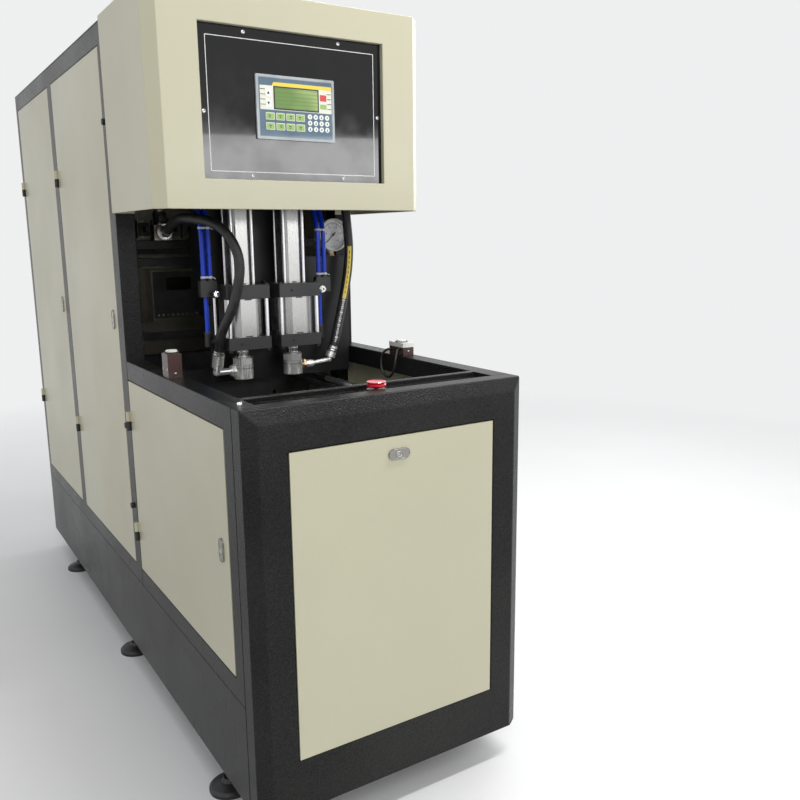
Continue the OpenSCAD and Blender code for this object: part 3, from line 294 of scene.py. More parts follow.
MAT = {
    "hammertone": hammertone(),
    "beige": orange_peel("beige_enamel", BEIGE, BEIGE_SHADE),
    "barrel": drawn_metal("drawn_aluminium", (0.45, 0.45, 0.44), 0.27, "z", dull=0.94,
                          depth=0.00006),
    "bright": drawn_metal("turned_steel", (0.86, 0.85, 0.83), 0.25, "z", metallic=0.72, dull=0.9,
                          depth=0.0001),
    "lock_chrome": polished("lock_chrome", (0.36, 0.35, 0.33), 0.1),
    "plate_metal": drawn_metal("bare_aluminium", (0.62, 0.62, 0.63), 0.36, "x"),
    "chrome": polished("polished_chrome", (0.82, 0.83, 0.85), 0.07),
    "rod": drawn_metal("ground_rod", (0.84, 0.84, 0.85), 0.2, "z", dull=0.94, depth=0.00008),
    "bar": drawn_metal("ground_bar", (0.6, 0.61, 0.63), 0.2, "y"),
    "zinc": polished("zinc_screw", (0.6, 0.6, 0.58), 0.22),
    "black_block": moulded("black_anodised", (0.035, 0.035, 0.037), 0.42, grain=500),
    "black_sheet": moulded("black_sheet", (0.014, 0.014, 0.015), 0.36, grain=260, depth=0.0003,
                           specular=0.3),
    "machined": machined("blackened_steel", (0.1, 0.1, 0.105), 0.42),
    "oxide": machined("black_oxide", (0.045, 0.045, 0.047), 0.45, metallic=0.6),
    "gloss_black": moulded("gloss_panel", (0.003, 0.003, 0.0036), 0.08, grain=40, depth=0.00003,
                           coat=0.35, specular=0.3),
    "controller": moulded("controller_frame", (0.42, 0.45, 0.46), 0.38),
    "blue_grey": moulded("membrane_blue", (0.075, 0.14, 0.2), 0.34, coat=0.4),
    "cream": moulded("membrane_cream", (0.72, 0.72, 0.6), 0.36, coat=0.4, worn=0.94),
    "yellow": moulded("print_yellow", (0.78, 0.6, 0.06), 0.36, coat=0.3, worn=0.9),
    "key_green": moulded("key_green", (0.3, 0.47, 0.13), 0.36, coat=0.4, worn=0.88),
    "key_white": moulded("key_white", (0.78, 0.8, 0.76), 0.34, coat=0.4, worn=0.93),
    "key_red": moulded("key_red", (0.62, 0.05, 0.05), 0.34, coat=0.4, worn=0.9),
    "key_dark": moulded("key_dark", (0.02, 0.03, 0.03), 0.36),
    "display": lcd_glass(),
    "print_white": moulded("print_white", (0.72, 0.72, 0.7), 0.4, worn=0.92),
    "hose": braided_rubber(),
    "cable": moulded("cable_sheath", (0.012, 0.012, 0.012), 0.4),
    "blue_tube": moulded("blue_tube", (0.002, 0.05, 0.62), 0.24, coat=0.12, worn=0.85,
                         specular=0.35),
    "tie_white": moulded("tie_nylon", (0.7, 0.71, 0.7), 0.42, worn=0.9),
    "black_plastic": moulded("black_plastic", (0.016, 0.015, 0.015), 0.42),
    "brown_plastic": moulded("brown_plastic", (0.05, 0.018, 0.014), 0.36, coat=0.2),
    "white_plastic": moulded("white_plastic", (0.78, 0.77, 0.72), 0.34, coat=0.3, worn=0.9),
    "red_plastic": moulded("red_plastic", (0.62, 0.012, 0.03), 0.24, coat=0.6, worn=0.85),
    "dial": moulded("dial_white", (0.97, 0.97, 0.95), 0.5, worn=0.98),
    "glass": clear_glass("gauge_glass"),
    "brass": polished("fitting_brass", (0.62, 0.46, 0.29), 0.26),
    "valve_body": polished("valve_body", (0.3, 0.27, 0.22), 0.34),
    "tank": orange_peel("tank_enamel", (0.05, 0.11, 0.2), (0.03, 0.07, 0.13), peel=300),
    "zinc_plate": polished("zinc_plate", (0.55, 0.53, 0.45), 0.35),
    "grey_plastic": moulded("device_grey", (0.35, 0.36, 0.36), 0.45),
}

# Mesh helpers


def finish_mesh(name, bm, material, body="machine", smooth=35):
    """Turns a bmesh into a piece of the object that rides on a body."""
    bmesh.ops.recalc_face_normals(bm, faces=bm.faces)
    mesh = bpy.data.meshes.new(name)
    bm.to_mesh(mesh)
    bm.free()
    for polygon in mesh.polygons:
        polygon.use_smooth = True
    mesh.set_sharp_from_angle(angle=math.radians(smooth))
    mesh.materials.append(MAT[material])
    piece = link_object(name, mesh)
    if body:
        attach(piece, body)
    return piece


def turned_to(axis):
    """Rotation that takes +Z to the axis."""
    return Vector(UP).rotation_difference(Vector(axis).normalized()).to_matrix().to_4x4()


def flat_axes(axis, up):
    """Unit vectors across, up and along the axis of a flat outline; a lying one points back."""
    n = Vector(axis).normalized()
    if up is None:
        up = UP if abs(n.z) < 0.9 else BACK
    v = (Vector(up) - Vector(up).dot(n) * n).normalized()
    return v.cross(n), v, n


def bridge(bm, rings):
    """Joins each ring of vertices to the next with faces."""
    for first, second in zip(rings, rings[1:]):
        for k in range(len(first)):
            after = (k + 1) % len(first)
            bm.faces.new([first[k], first[after], second[after], second[k]])


def tangents(path):
    """The direction of a path at each of its points."""
    return [(after - before).normalized()
            for before, after in zip(path[:1] + path[:-1], path[1:] + path[-1:])]


def add_box(bm, low, high, radius):
    """Adds a box with rounded edges."""
    made = bmesh.ops.create_cube(bm, size=1)["verts"]
    size = high - low
    for v in made:
        v.co = Vector([low[i] + (v.co[i] + 0.5) * size[i] for i in range(3)])
    if radius:
        edges = list(dict.fromkeys(e for v in made for e in v.link_edges))
        bmesh.ops.bevel(bm, geom=edges, offset=radius, segments=2, profile=0.5, affect="EDGES")


def add_lathe(bm, profile, place, axis, sides):
    """Adds a turned shape: profile is (radius, distance along the axis) pairs."""
    turn = Matrix.Translation(place) @ turned_to(axis)
    rings = []
    for radius, along in profile:
        if radius < 1e-7:
            rings.append([bm.verts.new(turn @ Vector((0, 0, along)))])
            continue
        ring = []
        for i in range(sides):
            a = 2 * math.pi * i / sides
            spoke = Vector((radius * math.cos(a), radius * math.sin(a), along))
            ring.append(bm.verts.new(turn @ spoke))
        rings.append(ring)
    for first, second in zip(rings, rings[1:]):
        for i in range(max(len(first), len(second))):
            corners = [first[i % len(first)], first[(i + 1) % len(first)],
                       second[(i + 1) % len(second)], second[i % len(second)]]
            unique = list(dict.fromkeys(corners))
            if len(unique) > 2:
                bm.faces.new(unique)
    if profile[0] != profile[-1]:
        for ring in (rings[0], rings[-1]):
            if len(ring) > 2:
                bm.faces.new(ring)


def add_prism(bm, outline, place, axis, depth, up=None, radius=0.0):
    """Adds an extruded outline. Its y runs along up, and its x across."""
    u, v, n = flat_axes(axis, up)
    near = [bm.verts.new(place + u * x + v * y) for x, y in outline]
    far = [bm.verts.new(place + u * x + v * y + n * depth) for x, y in outline]
    bm.faces.new(near)
    top = bm.faces.new(list(reversed(far)))
    bridge(bm, [far, near])
    if radius:
        bmesh.ops.bevel(bm, geom=list(top.edges), offset=radius, segments=2, profile=0.5,
                        affect="EDGES")


def rounded_outline(width, height, radius, steps=4):
    """A rectangle with round corners, about its centre."""
    points = []
    corners = ((1, 1, 0), (-1, 1, 90), (-1, -1, 180), (1, -1, 270))
    for sx, sy, start in corners:
        for i in range(steps + 1):
            a = math.radians(start + 90 * i / steps)
            points.append((sx * (width / 2 - radius) + radius * math.cos(a),
                           sy * (height / 2 - radius) + radius * math.sin(a)))
    return points


def round_outline(radius, count):
    return [(radius * math.cos(2 * math.pi * i / count), radius * math.sin(2 * math.pi * i / count))
            for i in range(count)]


def at_even_angles(outline, count=48):
    """The same closed line as points at even angles about its centre, to pair with a round hole."""
    points = []
    for i in range(count):
        a = 2 * math.pi * (i + 0.5) / count
        c, s = math.cos(a), math.sin(a)
        reach = 0
        for (x1, y1), (x2, y2) in zip(outline, outline[1:] + outline[:1]):
            cross = c * (y2 - y1) - s * (x2 - x1)
            if abs(cross) > 1e-12 and -1e-9 <= (x1 * s - y1 * c) / cross <= 1 + 1e-9:
                reach = max(reach, (x1 * (y2 - y1) - y1 * (x2 - x1)) / cross)
        points.append((reach * c, reach * s))
    return points


def hole_in(outline, radius):
    """A round hole with a point beside each point of the outline."""
    return [(radius * x / math.hypot(x, y), radius * y / math.hypot(x, y)) for x, y in outline]


def smooth_path(points, step):
    """A centreline through the points, as a Catmull-Rom curve."""
    pts = [Vector(p) for p in points]
    ends = [pts[0] * 2 - pts[1]] + pts + [pts[-1] * 2 - pts[-2]]
    path = []
    for i in range(1, len(ends) - 2):
        a, b, c, d = ends[i - 1:i + 3]
        count = max(2, int((c - b).length / step))
        for k in range(count):
            t = k / count
            path.append(0.5 * (2 * b + (c - a) * t + (2 * a - 5 * b + 4 * c - d) * t * t
                               + (3 * b - a - 3 * c + d) * t ** 3))
    path.append(pts[-1])
    return path


def add_tube(bm, path, radius, sides):
    """Adds a tube along a path; radius is a number or a function of the share of the way."""
    along = tangents(path)
    side = along[0].orthogonal().normalized()
    rings = []
    for i, (place, tangent) in enumerate(zip(path, along)):
        side = (side - side.dot(tangent) * tangent).normalized()
        other = tangent.cross(side)
        r = radius(i / (len(path) - 1)) if callable(radius) else radius
        rings.append([bm.verts.new(place + r * (math.cos(2 * math.pi * k / sides) * side
                                                + math.sin(2 * math.pi * k / sides) * other))
                      for k in range(sides)])
    bridge(bm, rings)
    bm.faces.new(rings[0])
    bm.faces.new(rings[-1])


def path_length(path):
    return sum((b - a).length for a, b in zip(path, path[1:]))


# Cords: the two blow hoses, the blue air tubes and the loop of switch cable

HOSE_D = 0.026
TUBE_D = 0.012
CABLE_D = 0.007

LEFT_HOSE = [(-0.205, 0.878, 1.318), (-0.205, 0.866, 1.318), (-0.205, 0.86, 1.319),
             (-0.209, 0.82, 1.328), (-0.212, 0.77, 1.341), (-0.211, 0.722, 1.349),
             (-0.205, 0.684, 1.35), (-0.19, 0.652, 1.348), (-0.168, 0.628, 1.341),
             (-0.148, 0.607, 1.327), (-0.131, 0.59, 1.303), (-0.117, 0.577, 1.268),
             (-0.112, 0.573, 1.23), (-0.115, 0.576, 1.19), (-0.122, 0.584, 1.15),
             (-0.133, 0.594, 1.112), (-0.147, 0.607, 1.076), (-0.154, 0.626, 1.042),
             (-0.151, 0.642, 1.017), (-0.151, 0.651, 0.996)]
RIGHT_HOSE = [(0.199, 0.673, 0.973), (0.211, 0.674, 1.004), (0.224, 0.676, 1.05),
              (0.238, 0.68, 1.094), (0.253, 0.683, 1.149), (0.265, 0.684, 1.21),
              (0.27, 0.685, 1.27), (0.268, 0.687, 1.324), (0.265, 0.69, 1.37),
              (0.262, 0.693, 1.41), (0.262, 0.693, 1.428), (0.262, 0.693, 1.44)]
LEFT_HOSE_LENGTH = 0.668
RIGHT_HOSE_LENGTH = 0.478
CABLE = [(0.306, 0.516, 0.988), (0.301, 0.516, 0.988), (0.294, 0.521, 0.986),
         (0.286, 0.529, 0.976), (0.282, 0.532, 0.957), (0.28, 0.528, 0.935),
         (0.28, 0.515, 0.919), (0.28, 0.495, 0.913), (0.28, 0.475, 0.921),
         (0.281, 0.463, 0.939), (0.284, 0.461, 0.96), (0.289, 0.464, 0.978),
         (0.295, 0.468, 0.988), (0.301, 0.472, 0.99), (0.306, 0.472, 0.99)]
AIR_X = 0.168
AIR_Y = 0.664
AIR_STEP = 0.009
# How far the long tube of a group stands behind the two others
LONG_TUBE_BACK = 0.016
# y and height of the points that the tubes of one group share
AIR_ROUTE = [(0.000, 1.1890), (0.000, 1.2593), (0.004, 1.3296), (0.026, 1.3737), (0.064, 1.4059),
             (0.104, 1.4280), (0.104, 1.4400)]


def cord_piece(name, route, diameter, material, body, sides, step=0.008):
    """The mesh of a cord along its route, and the path it follows."""
    path = smooth_path([at(*p) for p in route], step)
    bm = bmesh.new()
    add_tube(bm, path, diameter / 2, sides)
    return finish_mesh(name, bm, material, body, 60), path


def hang_cord(path, length):
    """Reads the first point of a cord's path and does nothing more."""
    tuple(path[0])


def blend_right(part):
    """Bakes the piece's placement into its mesh."""
    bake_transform(part)


def make_hoses():
    left, left_path = cord_piece("left_hose", LEFT_HOSE, HOSE_D, "hose", None, 24)
    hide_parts("left_blow_hose")
    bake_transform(left)
    hang_cord(left_path, LEFT_HOSE_LENGTH)
    right, right_path = cord_piece("right_hose", RIGHT_HOSE, HOSE_D, "hose", None,
                                   24)
    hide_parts("right_blow_hose")
    blend_right(right)
    hang_cord(right_path, RIGHT_HOSE_LENGTH)
    return left_path, right_path


def make_air_tubes():
    first = None
    for word, side in SIDES:
        long = [(side * AIR_X, AIR_Y + LONG_TUBE_BACK, z) for z in (1.048, 1.118)]
        routes = {"inner": [(side * (AIR_X - AIR_STEP), AIR_Y + y, z) for y, z in AIR_ROUTE],
                  "outer": [(side * (AIR_X + AIR_STEP), AIR_Y + y, z) for y, z in AIR_ROUTE],
                  "long": long + [(side * AIR_X, AIR_Y + LONG_TUBE_BACK + y, z)
                                  for y, z in AIR_ROUTE]}
        for key, route in routes.items():
            tube, path = cord_piece(f"{word}_air_tube_{key}", route, TUBE_D, "blue_tube",
                                    "machine", 16)
            hang_cord(path, round(path_length(path), 3))
            first = first or tube
    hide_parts("air_tubes")


def make_cable():
    cable, path = cord_piece("switch_cable_loop", CABLE, CABLE_D, "cable",
                             "machine", 12, step=0.004)
    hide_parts("switch_cable")
    hang_cord(path, round(path_length(path), 3))


left_path, right_path = make_hoses()
make_air_tubes()
make_cable()

# CAD nodes: their finish, and rounded edges where the real piece has them


def both(*names):
    return [f"{word}_{name}" for word, _ in SIDES for name in names]


FINISH = {
    "hammertone": ["base_plinth", "front_bezel", "lower_frame", "cabinet_frame", "roof_sheet",
                   "shelf_beams"],
    "beige": ["rear_panel", "head_box", "front_panel",
              *both("front_door", "rear_door", "lower_door")],
    "oxide": ["levelling_feet", "hinge_pins"],
    "machined": ["bed_beams", "front_platen", "rear_platen", "front_moving_platen",
                 "rear_moving_platen", "sync_shaft"],
    "black_sheet": ["cylinder_plate"],
    "bar": ["tie_bars", "clamp_rod"],
    "bright": both("blow_nozzle"),
    "lock_chrome": ["front_panel_lock", *both("front_lock", "rear_lock", "lower_lock")],
    "rod": ["cylinder_tie_rods", *both("seal_rod", "stretch_rod")],
    "black_block": ["cylinder_blocks"],
    "barrel": ["cylinder_barrels", "clamp_cylinder"],
    "plate_metal": ["air_manifold"],
    "valve_body": ["blow_valves"],
    "gloss_black": ["control_panel"],
    "controller": ["controller"],
    "black_plastic": ["tube_fittings"],
    "brown_plastic": ["switch_boxes"],
    "white_plastic": ["gauge_case", *both("start_button")],
    "key_dark": ["gauge_needle"],
    "zinc_plate": ["electric_panel"],
    "tank": ["air_tank"],
    "red_plastic": ["stop_button"],
    "hose": both("blow_hose"),
    "cable": ["switch_cable"],
    "blue_tube": ["air_tubes"],
}
# Radius of the rounded edges of a node's sheet, tube or block
EDGE = {"head_box": 0.0015, "front_bezel": 0.009, "lower_frame": 0.003, "cabinet_frame": 0.003,
        "base_plinth": 0.003, "cylinder_blocks": 0.0012, "controller": 0.0012,
        "switch_boxes": 0.0015, "air_manifold": 0.0015, "front_platen": 0.002, "rear_platen": 0.002,
        "shelf_beams": 0.0015, "roof_sheet": 0.001, "cylinder_plate": 0.0008}


def finish_cad():
    for material, names in FINISH.items():
        for name in names:
            node = nodes[name]
            node.data.materials.clear()
            node.data.materials.append(MAT[material])
            for polygon in node.data.polygons:
                polygon.material_index = 0
    for name, radius in EDGE.items():
        node = nodes[name]
        weld = node.modifiers.new("weld", "WELD")
        weld.merge_threshold = 0.00002
        bevel = node.modifiers.new("round", "BEVEL")
        bevel.width = radius
        bevel.segments = 3
        bevel.limit_method = "ANGLE"
        bevel.angle_limit = math.radians(25)


finish_cad()

# Small parts: screws, nuts, rings and bands

SINK = 0.0002  # how far a small part reaches into the face that carries it
CORNERS = ((-1, -1), (-1, 1), (1, -1), (1, 1))


@contextmanager
def new_piece(name, material, slot, body="machine", smooth=35):
    """Gives an empty mesh to fill, which becomes a piece of the object when the block ends."""
    bm = bmesh.new()
    yield bm
    finish_mesh(name, bm, material, body, smooth)


def scaled(outline, across, along=None):
    """The outline made larger or smaller about its centre."""
    return [(x * across, y * (along or across)) for x, y in outline]


def add_ring_plate(bm, outer, inner, place, axis, depth, up=None):
    """Adds a flat ring between two outlines with as many points each."""
    u, v, n = flat_axes(axis, up)
    loops = [[bm.verts.new(place + u * x + v * y + n * along) for x, y in outline]
             for outline, along in ((outer, 0), (outer, depth), (inner, depth), (inner, 0))]
    bridge(bm, loops + loops[:1])


def star_outline(radius, lobes, depth):
    """A round outline with lobes, as of a grip knob."""
    points, count = [], 64
    for i in range(count):
        a = 2 * math.pi * i / count
        reach = radius - depth * (0.5 - 0.5 * math.cos(lobes * a))
        points.append((reach * math.cos(a), reach * math.sin(a)))
    return points


def add_cross_screw(bm, marks, place, axis, radius, turn):
    """A domed screw; its cross recess is painted shade, a dark cross in a mesh of its own."""
    add_lathe(bm, [(radius, -SINK), (radius, radius * 0.22), (radius * 0.78, radius * 0.5),
                   (radius * 0.4, radius * 0.6), (0, radius * 0.62)], place, axis, 24)
    n = Vector(axis).normalized()
    # Painted shade: a dark cross stands for the shaded hollow of the recess
    long, wide = radius * 0.52, radius * 0.13
    for k in range(2):
        a = turn + k * math.pi / 2
        corners = [(-long, -wide), (long, -wide), (long, wide), (-long, wide)]
        outline = [(x * math.cos(a) - y * math.sin(a), x * math.sin(a) + y * math.cos(a))
                   for x, y in corners]
        add_prism(marks, outline, place + n * radius * (0.38 + 0.004 * k), n,
                  radius * 0.26)


def make_cross_screws(word, material, radius, spots):
    """Screws at places with an axis and a turn each, and dark crosses of painted shade for their
    recesses.
    """
    screws, marks = bmesh.new(), bmesh.new()
    for place, axis, turn in spots:
        add_cross_screw(screws, marks, place, axis, radius, turn)
    finish_mesh(f"{word}_screws", screws, material)
    # Painted shade: the dark crosses of the cross recesses
    finish_mesh(f"{word}_screw_recess_shade", marks, "key_dark")


def add_socket_screw(bm, place, axis, radius, height):
    """A cylinder-head screw with a sunk socket."""
    add_lathe(bm, [(radius, -SINK), (radius, height * 0.9), (radius * 0.88, height),
                   (radius * 0.52, height), (radius * 0.48, height * 0.4), (0, height * 0.34)],
              place, axis, 24)


def add_hex_nut(bm, place, axis, radius, height, bore=0.55):
    """A hexagon nut with chamfered corners on a washer; bore is a share of its radius."""
    n = Vector(axis).normalized()
    hole, washer, thick = radius * bore, radius * 1.12, height * 0.16
    add_lathe(bm, [(hole, 0), (washer, 0), (washer, thick), (hole, thick), (hole, 0)],
              place, axis, 32)
    outer = round_outline(radius, 6)
    points = [tuple(a * (1 - k / 4) + b * (k / 4) for a, b in zip(first, second))
              for first, second in zip(outer, outer[1:] + outer[:1]) for k in range(4)]
    inner = hole_in(points, hole)
    add_ring_plate(bm, points, inner, place + n * thick, n, height * 0.7)
    chamfer = radius * math.cos(math.pi / 6) * 0.99
    top = [(min(1, chamfer / math.hypot(x, y)) * x, min(1, chamfer / math.hypot(x, y)) * y)
           for x, y in points]
    add_ring_plate(bm, top, inner, place + n * height * 0.84, n, thick)


def add_band(bm, place, radius, height, proud):
    """A ring round an upright cylinder."""
    inside, edge, face = radius - 0.0008, radius + proud * 0.6, radius + proud
    add_lathe(bm, [(inside, -height / 2), (edge, -height / 2), (face, -height / 4),
                   (face, height / 4), (edge, height / 2), (inside, height / 2),
                   (inside, -height / 2)], place, UP, 48)


# Control panel: border line, screws, and the keypad on the controller

PANEL_Y = 0.449
PANEL_Z = 1.6
BORDER_W, BORDER_H, BORDER_LINE = 0.44, 0.298, 0.0016
PANEL_SCREWS = ((-0.127, 1.763), (0.12, 1.763), (-0.1166, 1.443), (0.128, 1.443),
                (-0.230, 1.583), (0.230, 1.596))
PAD_Y = 0.444
PAD_X0, PAD_Z1, PAD_W, PAD_H = -0.1015, 1.673, 0.203, 0.143
PAD_LAYER = 0.00022


def make_panel_face():
    with new_piece("panel_border_line", "print_white", "black_gloss") as bm:
        inner = rounded_outline(BORDER_W - 2 * BORDER_LINE, BORDER_H - 2 * BORDER_LINE, 0.0008)
        add_ring_plate(bm, rounded_outline(BORDER_W, BORDER_H, 0.0015), inner,
                       at(0, PANEL_Y + 0.0001, PANEL_Z), FRONT, 0.0003)
    make_cross_screws("panel", "chrome", 0.0048,
                      [(at(x, PANEL_Y, z), FRONT, 0.35 + i * 0.7)
                       for i, (x, z) in enumerate(PANEL_SCREWS)])


def pad_key(width, height, radius):
    """An outline from shares of the keypad's width and height."""
    return rounded_outline(PAD_W * width, PAD_H * height, radius)


def pad_layer(name, material, level, *shapes):
    """Flat shapes on the keypad: an outline each, and its places in shares across and down."""
    with new_piece(f"keypad_{name}", material, "controller_plastic") as bm:
        for outline, *spots in shapes:
            for u, v in spots:
                add_prism(bm, outline, at(PAD_X0 + u * PAD_W, PAD_Y + SINK, PAD_Z1 - v * PAD_H),
                          FRONT, PAD_LAYER * level + SINK)


def make_keypad():
    w, h = PAD_W, PAD_H
    stripe = [(-w * 0.39, -h * 0.03), (w * 0.39, -h * 0.03), (w * 0.39, h * 0.03),
              (-w * 0.365, h * 0.03)]
    arrow = w * 0.016
    screen = (0.505, 0.345)
    long_keys = [(u, v) for v in (0.64, 0.80) for u in (0.16, 0.29, 0.42, 0.55)]
    round_keys = [(u, v) for v in (0.61, 0.71, 0.81) for u in (0.675, 0.752, 0.829, 0.905)]
    arrow_keys = [(0.145, 0.27), (0.145, 0.44)]
    pad_layer("field", "blue_grey", 1, (pad_key(0.945, 0.925, 0.002), (0.5, 0.5)))
    pad_layer("band", "cream", 2, (pad_key(0.93, 0.38, 0.0008), (0.505, 0.35)))
    pad_layer("stripe", "yellow", 2, (stripe, (0.58, 0.13)))
    pad_layer("screen_frame", "key_dark", 3, (pad_key(0.59, 0.37, 0.001), screen))
    pad_layer("screen", "display", 5, (pad_key(0.555, 0.325, 0.001), screen))
    pad_layer("long_key_rims", "cream", 3, (pad_key(0.112, 0.115, 0.0018), *long_keys))
    pad_layer("long_keys", "key_green", 5, (pad_key(0.098, 0.095, 0.0014), *long_keys))
    pad_layer("round_keys", "key_white", 5, (round_outline(w * 0.029, 20), *round_keys))
    pad_layer("arrow_keys", "key_white", 4, (pad_key(0.075, 0.12, 0.0014), *arrow_keys))
    marks = []
    for i, (u, v) in enumerate(long_keys):
        for k, length in enumerate((0.03, 0.018)):
            marks.append((pad_key(length, 0.014, 0.0004),
                          (u - 0.008 + 0.006 * (i % 3), v - 0.012 + 0.028 * k)))
    for i, (u, v) in enumerate(round_keys):
        marks.append((pad_key(0.009, 0.032, 0.0004), (u + 0.002 * (i % 2), v)))
        if i % 3:
            marks.append((pad_key(0.02, 0.01, 0.0003), (u, v - 0.016 + 0.016 * (i % 3))))
    marks.append(([(-arrow, -arrow), (arrow, -arrow), (0, arrow)], arrow_keys[0]))
    marks.append(([(-arrow, arrow), (arrow, arrow), (0, -arrow)], arrow_keys[1]))
    for v in (0.22, 0.3, 0.38, 0.46):
        marks.append((pad_key(0.06, 0.006, 0.0001), (0.075, v)))
        marks.append((pad_key(0.05, 0.006, 0.0001), (0.94, v)))
    pad_layer("marks", "key_dark", 6, *marks)
    pad_layer("stop_key", "key_red", 4, (pad_key(0.085, 0.1, 0.0012), (0.86, 0.29)))
    pad_layer("start_key", "key_green", 4, (pad_key(0.085, 0.075, 0.0012), (0.86, 0.43)))
    with new_piece("keypad_frame", "controller", "controller_plastic") as bm:
        add_ring_plate(bm, rounded_outline(w + 0.003, h + 0.003, 0.0025),
                       rounded_outline(w - 0.0085, h - 0.0085, 0.0015),
                       at(0, PANEL_Y, PAD_Z1 - h / 2), FRONT, PANEL_Y - PAD_Y + 0.0009)


# Locks: chrome cover on the door, and the key plug that turns

DOOR_LOCKS = {"front": (0.921, 1.080), "rear": (1.616, 1.080), "lower": (0.149, 0.652)}
DOOR_LOCK_X = 0.353
COVER_W, COVER_H, COVER_R = 0.0236, 0.0536, 0.0117
KEY_HOLE_R = 0.0076


def make_lock(word, body, place, axis, up=None):
    """Chrome cover with a raised rim and a well on the door, and the ring of the key plug."""
    proud = place + Vector(axis) * 0.0004
    outer = at_even_angles(rounded_outline(COVER_W, COVER_H, COVER_R, steps=10), 60)
    hole = hole_in(outer, KEY_HOLE_R)
    with new_piece(f"{word}_lock_cover", "lock_chrome", "chromed_steel", body) as bm:
        add_ring_plate(bm, outer, hole, place - Vector(axis) * 0.0028, axis, 0.0033, up)
        add_ring_plate(bm, scaled(outer, 0.96, 0.98), scaled(outer, 0.84, 0.93), proud, axis,
                       0.0008, up)
        add_ring_plate(bm, scaled(hole, 1.3), hole, proud, axis, 0.0006, up)
    with new_piece(f"{word}_lock_ring", "zinc", "chromed_steel", f"{word}_lock_body") as bm:
        add_lathe(bm, [(0.0053, -0.0006), (0.0069, -0.0006), (0.0069, 0.0005), (0.0062, 0.001),
                       (0.0053, 0.0005), (0.0053, -0.0006)], place, axis, 36)


def make_locks():
    for word, side in SIDES:
        for door, (y, z) in DOOR_LOCKS.items():
            make_lock(f"{word}_{door}", f"{word}_{door}_door_body", at(side * DOOR_LOCK_X, y, z),
                      (side, 0, 0))
    make_lock("front_panel", "front_panel_body", at(0, -0.003, 0.842), FRONT, (1, 0, 0))


# Cylinders: screws in the blocks, nuts on the tie rods, seals where tube meets block

STATION_X = 0.0745
GEAR_Y = 0.673
LOW_BLOCK_BASE, MID_BLOCK_TOP, HIGH_BLOCK_TOP = 1.006, 1.177, 1.611
SEAL_BARREL_R, STRETCH_BARREL_R = 0.054, 0.029
# Height, radius, height of the ring and how far it stands out
SEAL_RINGS = ((1.041, SEAL_BARREL_R, 0.0026, 0.0011), (1.138, SEAL_BARREL_R, 0.0026, 0.0011),
              (1.179, STRETCH_BARREL_R, 0.0026, 0.0009),
              (1.5755, STRETCH_BARREL_R, 0.0026, 0.0009), (1.0045, 0.0165, 0.003, 0.0035))
NOZZLE_RINGS = ((0.9205, 0.0238, 0.0035, 0.001), (0.9505, 0.0269, 0.0016, 0.0005))
ROD_RINGS = ((0.981, 0.0150, 0.004, 0.0075), (0.995, 0.0150, 0.005, 0.0012))
# Height and half width of each block with a plug on its front
PLUGS = ((1.0225, 0.0605), (1.1585, 0.0605), (1.594, 0.033))


def make_cylinder_hardware():
    screws, nuts, seals = bmesh.new(), bmesh.new(), bmesh.new()
    for _, side in SIDES:
        x = side * STATION_X
        for a, b in CORNERS:
            add_socket_screw(screws, at(x + a * 0.053, GEAR_Y + b * 0.053, LOW_BLOCK_BASE),
                             (0, 0, -1), 0.0062, 0.006)
            add_hex_nut(nuts, at(x + a * 0.0285, GEAR_Y + b * 0.0285, HIGH_BLOCK_TOP), UP,
                        0.0064, 0.007)
            add_socket_screw(screws, at(x + a * 0.0535, GEAR_Y + b * 0.0535, MID_BLOCK_TOP), UP,
                             0.0055, 0.0045)
        for z, *ring in SEAL_RINGS:
            add_band(seals, at(x, GEAR_Y, z), *ring)
        for z, half in PLUGS:
            add_socket_screw(screws, at(x - 0.4 * half, GEAR_Y - half, z), FRONT, 0.0036, 0.0014)
    finish_mesh("cylinder_screws", screws, "oxide")
    finish_mesh("cylinder_nuts", nuts, "zinc")
    finish_mesh("cylinder_seals", seals, "hose")
    for word, side in SIDES:
        x, body = side * STATION_X, f"{word}_seal"
        for name, material, slot, rings in (
                ("nozzle_seal", "hose", "black_rubber", NOZZLE_RINGS),
                ("rod_collar", "bright", "machined_steel", ROD_RINGS)):
            with new_piece(f"{word}_{name}", material, slot, body) as bm:
                for z, *ring in rings:
                    add_band(bm, at(x, GEAR_Y, z), *ring)
        with new_piece(f"{word}_port_nut", "brass" if side > 0 else "bright", "chromed_steel",
                       body) as bm:
            add_hex_nut(bm, at(x + side * 0.0265, GEAR_Y, 0.944), (side, 0, 0), 0.0165, 0.011, 0.6)


# Hose ends, hose print, cable ties, tube collars, valve parts and the flow knob

STRIPE_START, STRIPE_END = 0.157, 0.309
PRINT_START, PRINT_END, PRINT_GAP = 0.028, 0.156, 0.0022
PRINT_LENGTHS = (0.004, 0.0025, 0.006, 0.003)
VALVE_X, VALVE_Y, VALVE_Z = (-0.205, 0.095), 0.878, 1.318
# The flow knob at the left, and the screw plug in its place at the right
KNOB_X, KNOB_Y, KNOB_Z = 0.157, 0.638, 1.156


def part_of(path, start, end):
    """The stretch of a path between two distances along it."""
    kept, gone = [], 0.0
    for a, b in zip(path, path[1:]):
        length = (b - a).length
        first, last = max(start, gone), min(end, gone + length)
        if last > first:
            kept += [a.lerp(b, (first - gone) / length), a.lerp(b, (last - gone) / length)]
        gone += length
    return [p for i, p in enumerate(kept) if i == 0 or (p - kept[i - 1]).length > 1e-5]


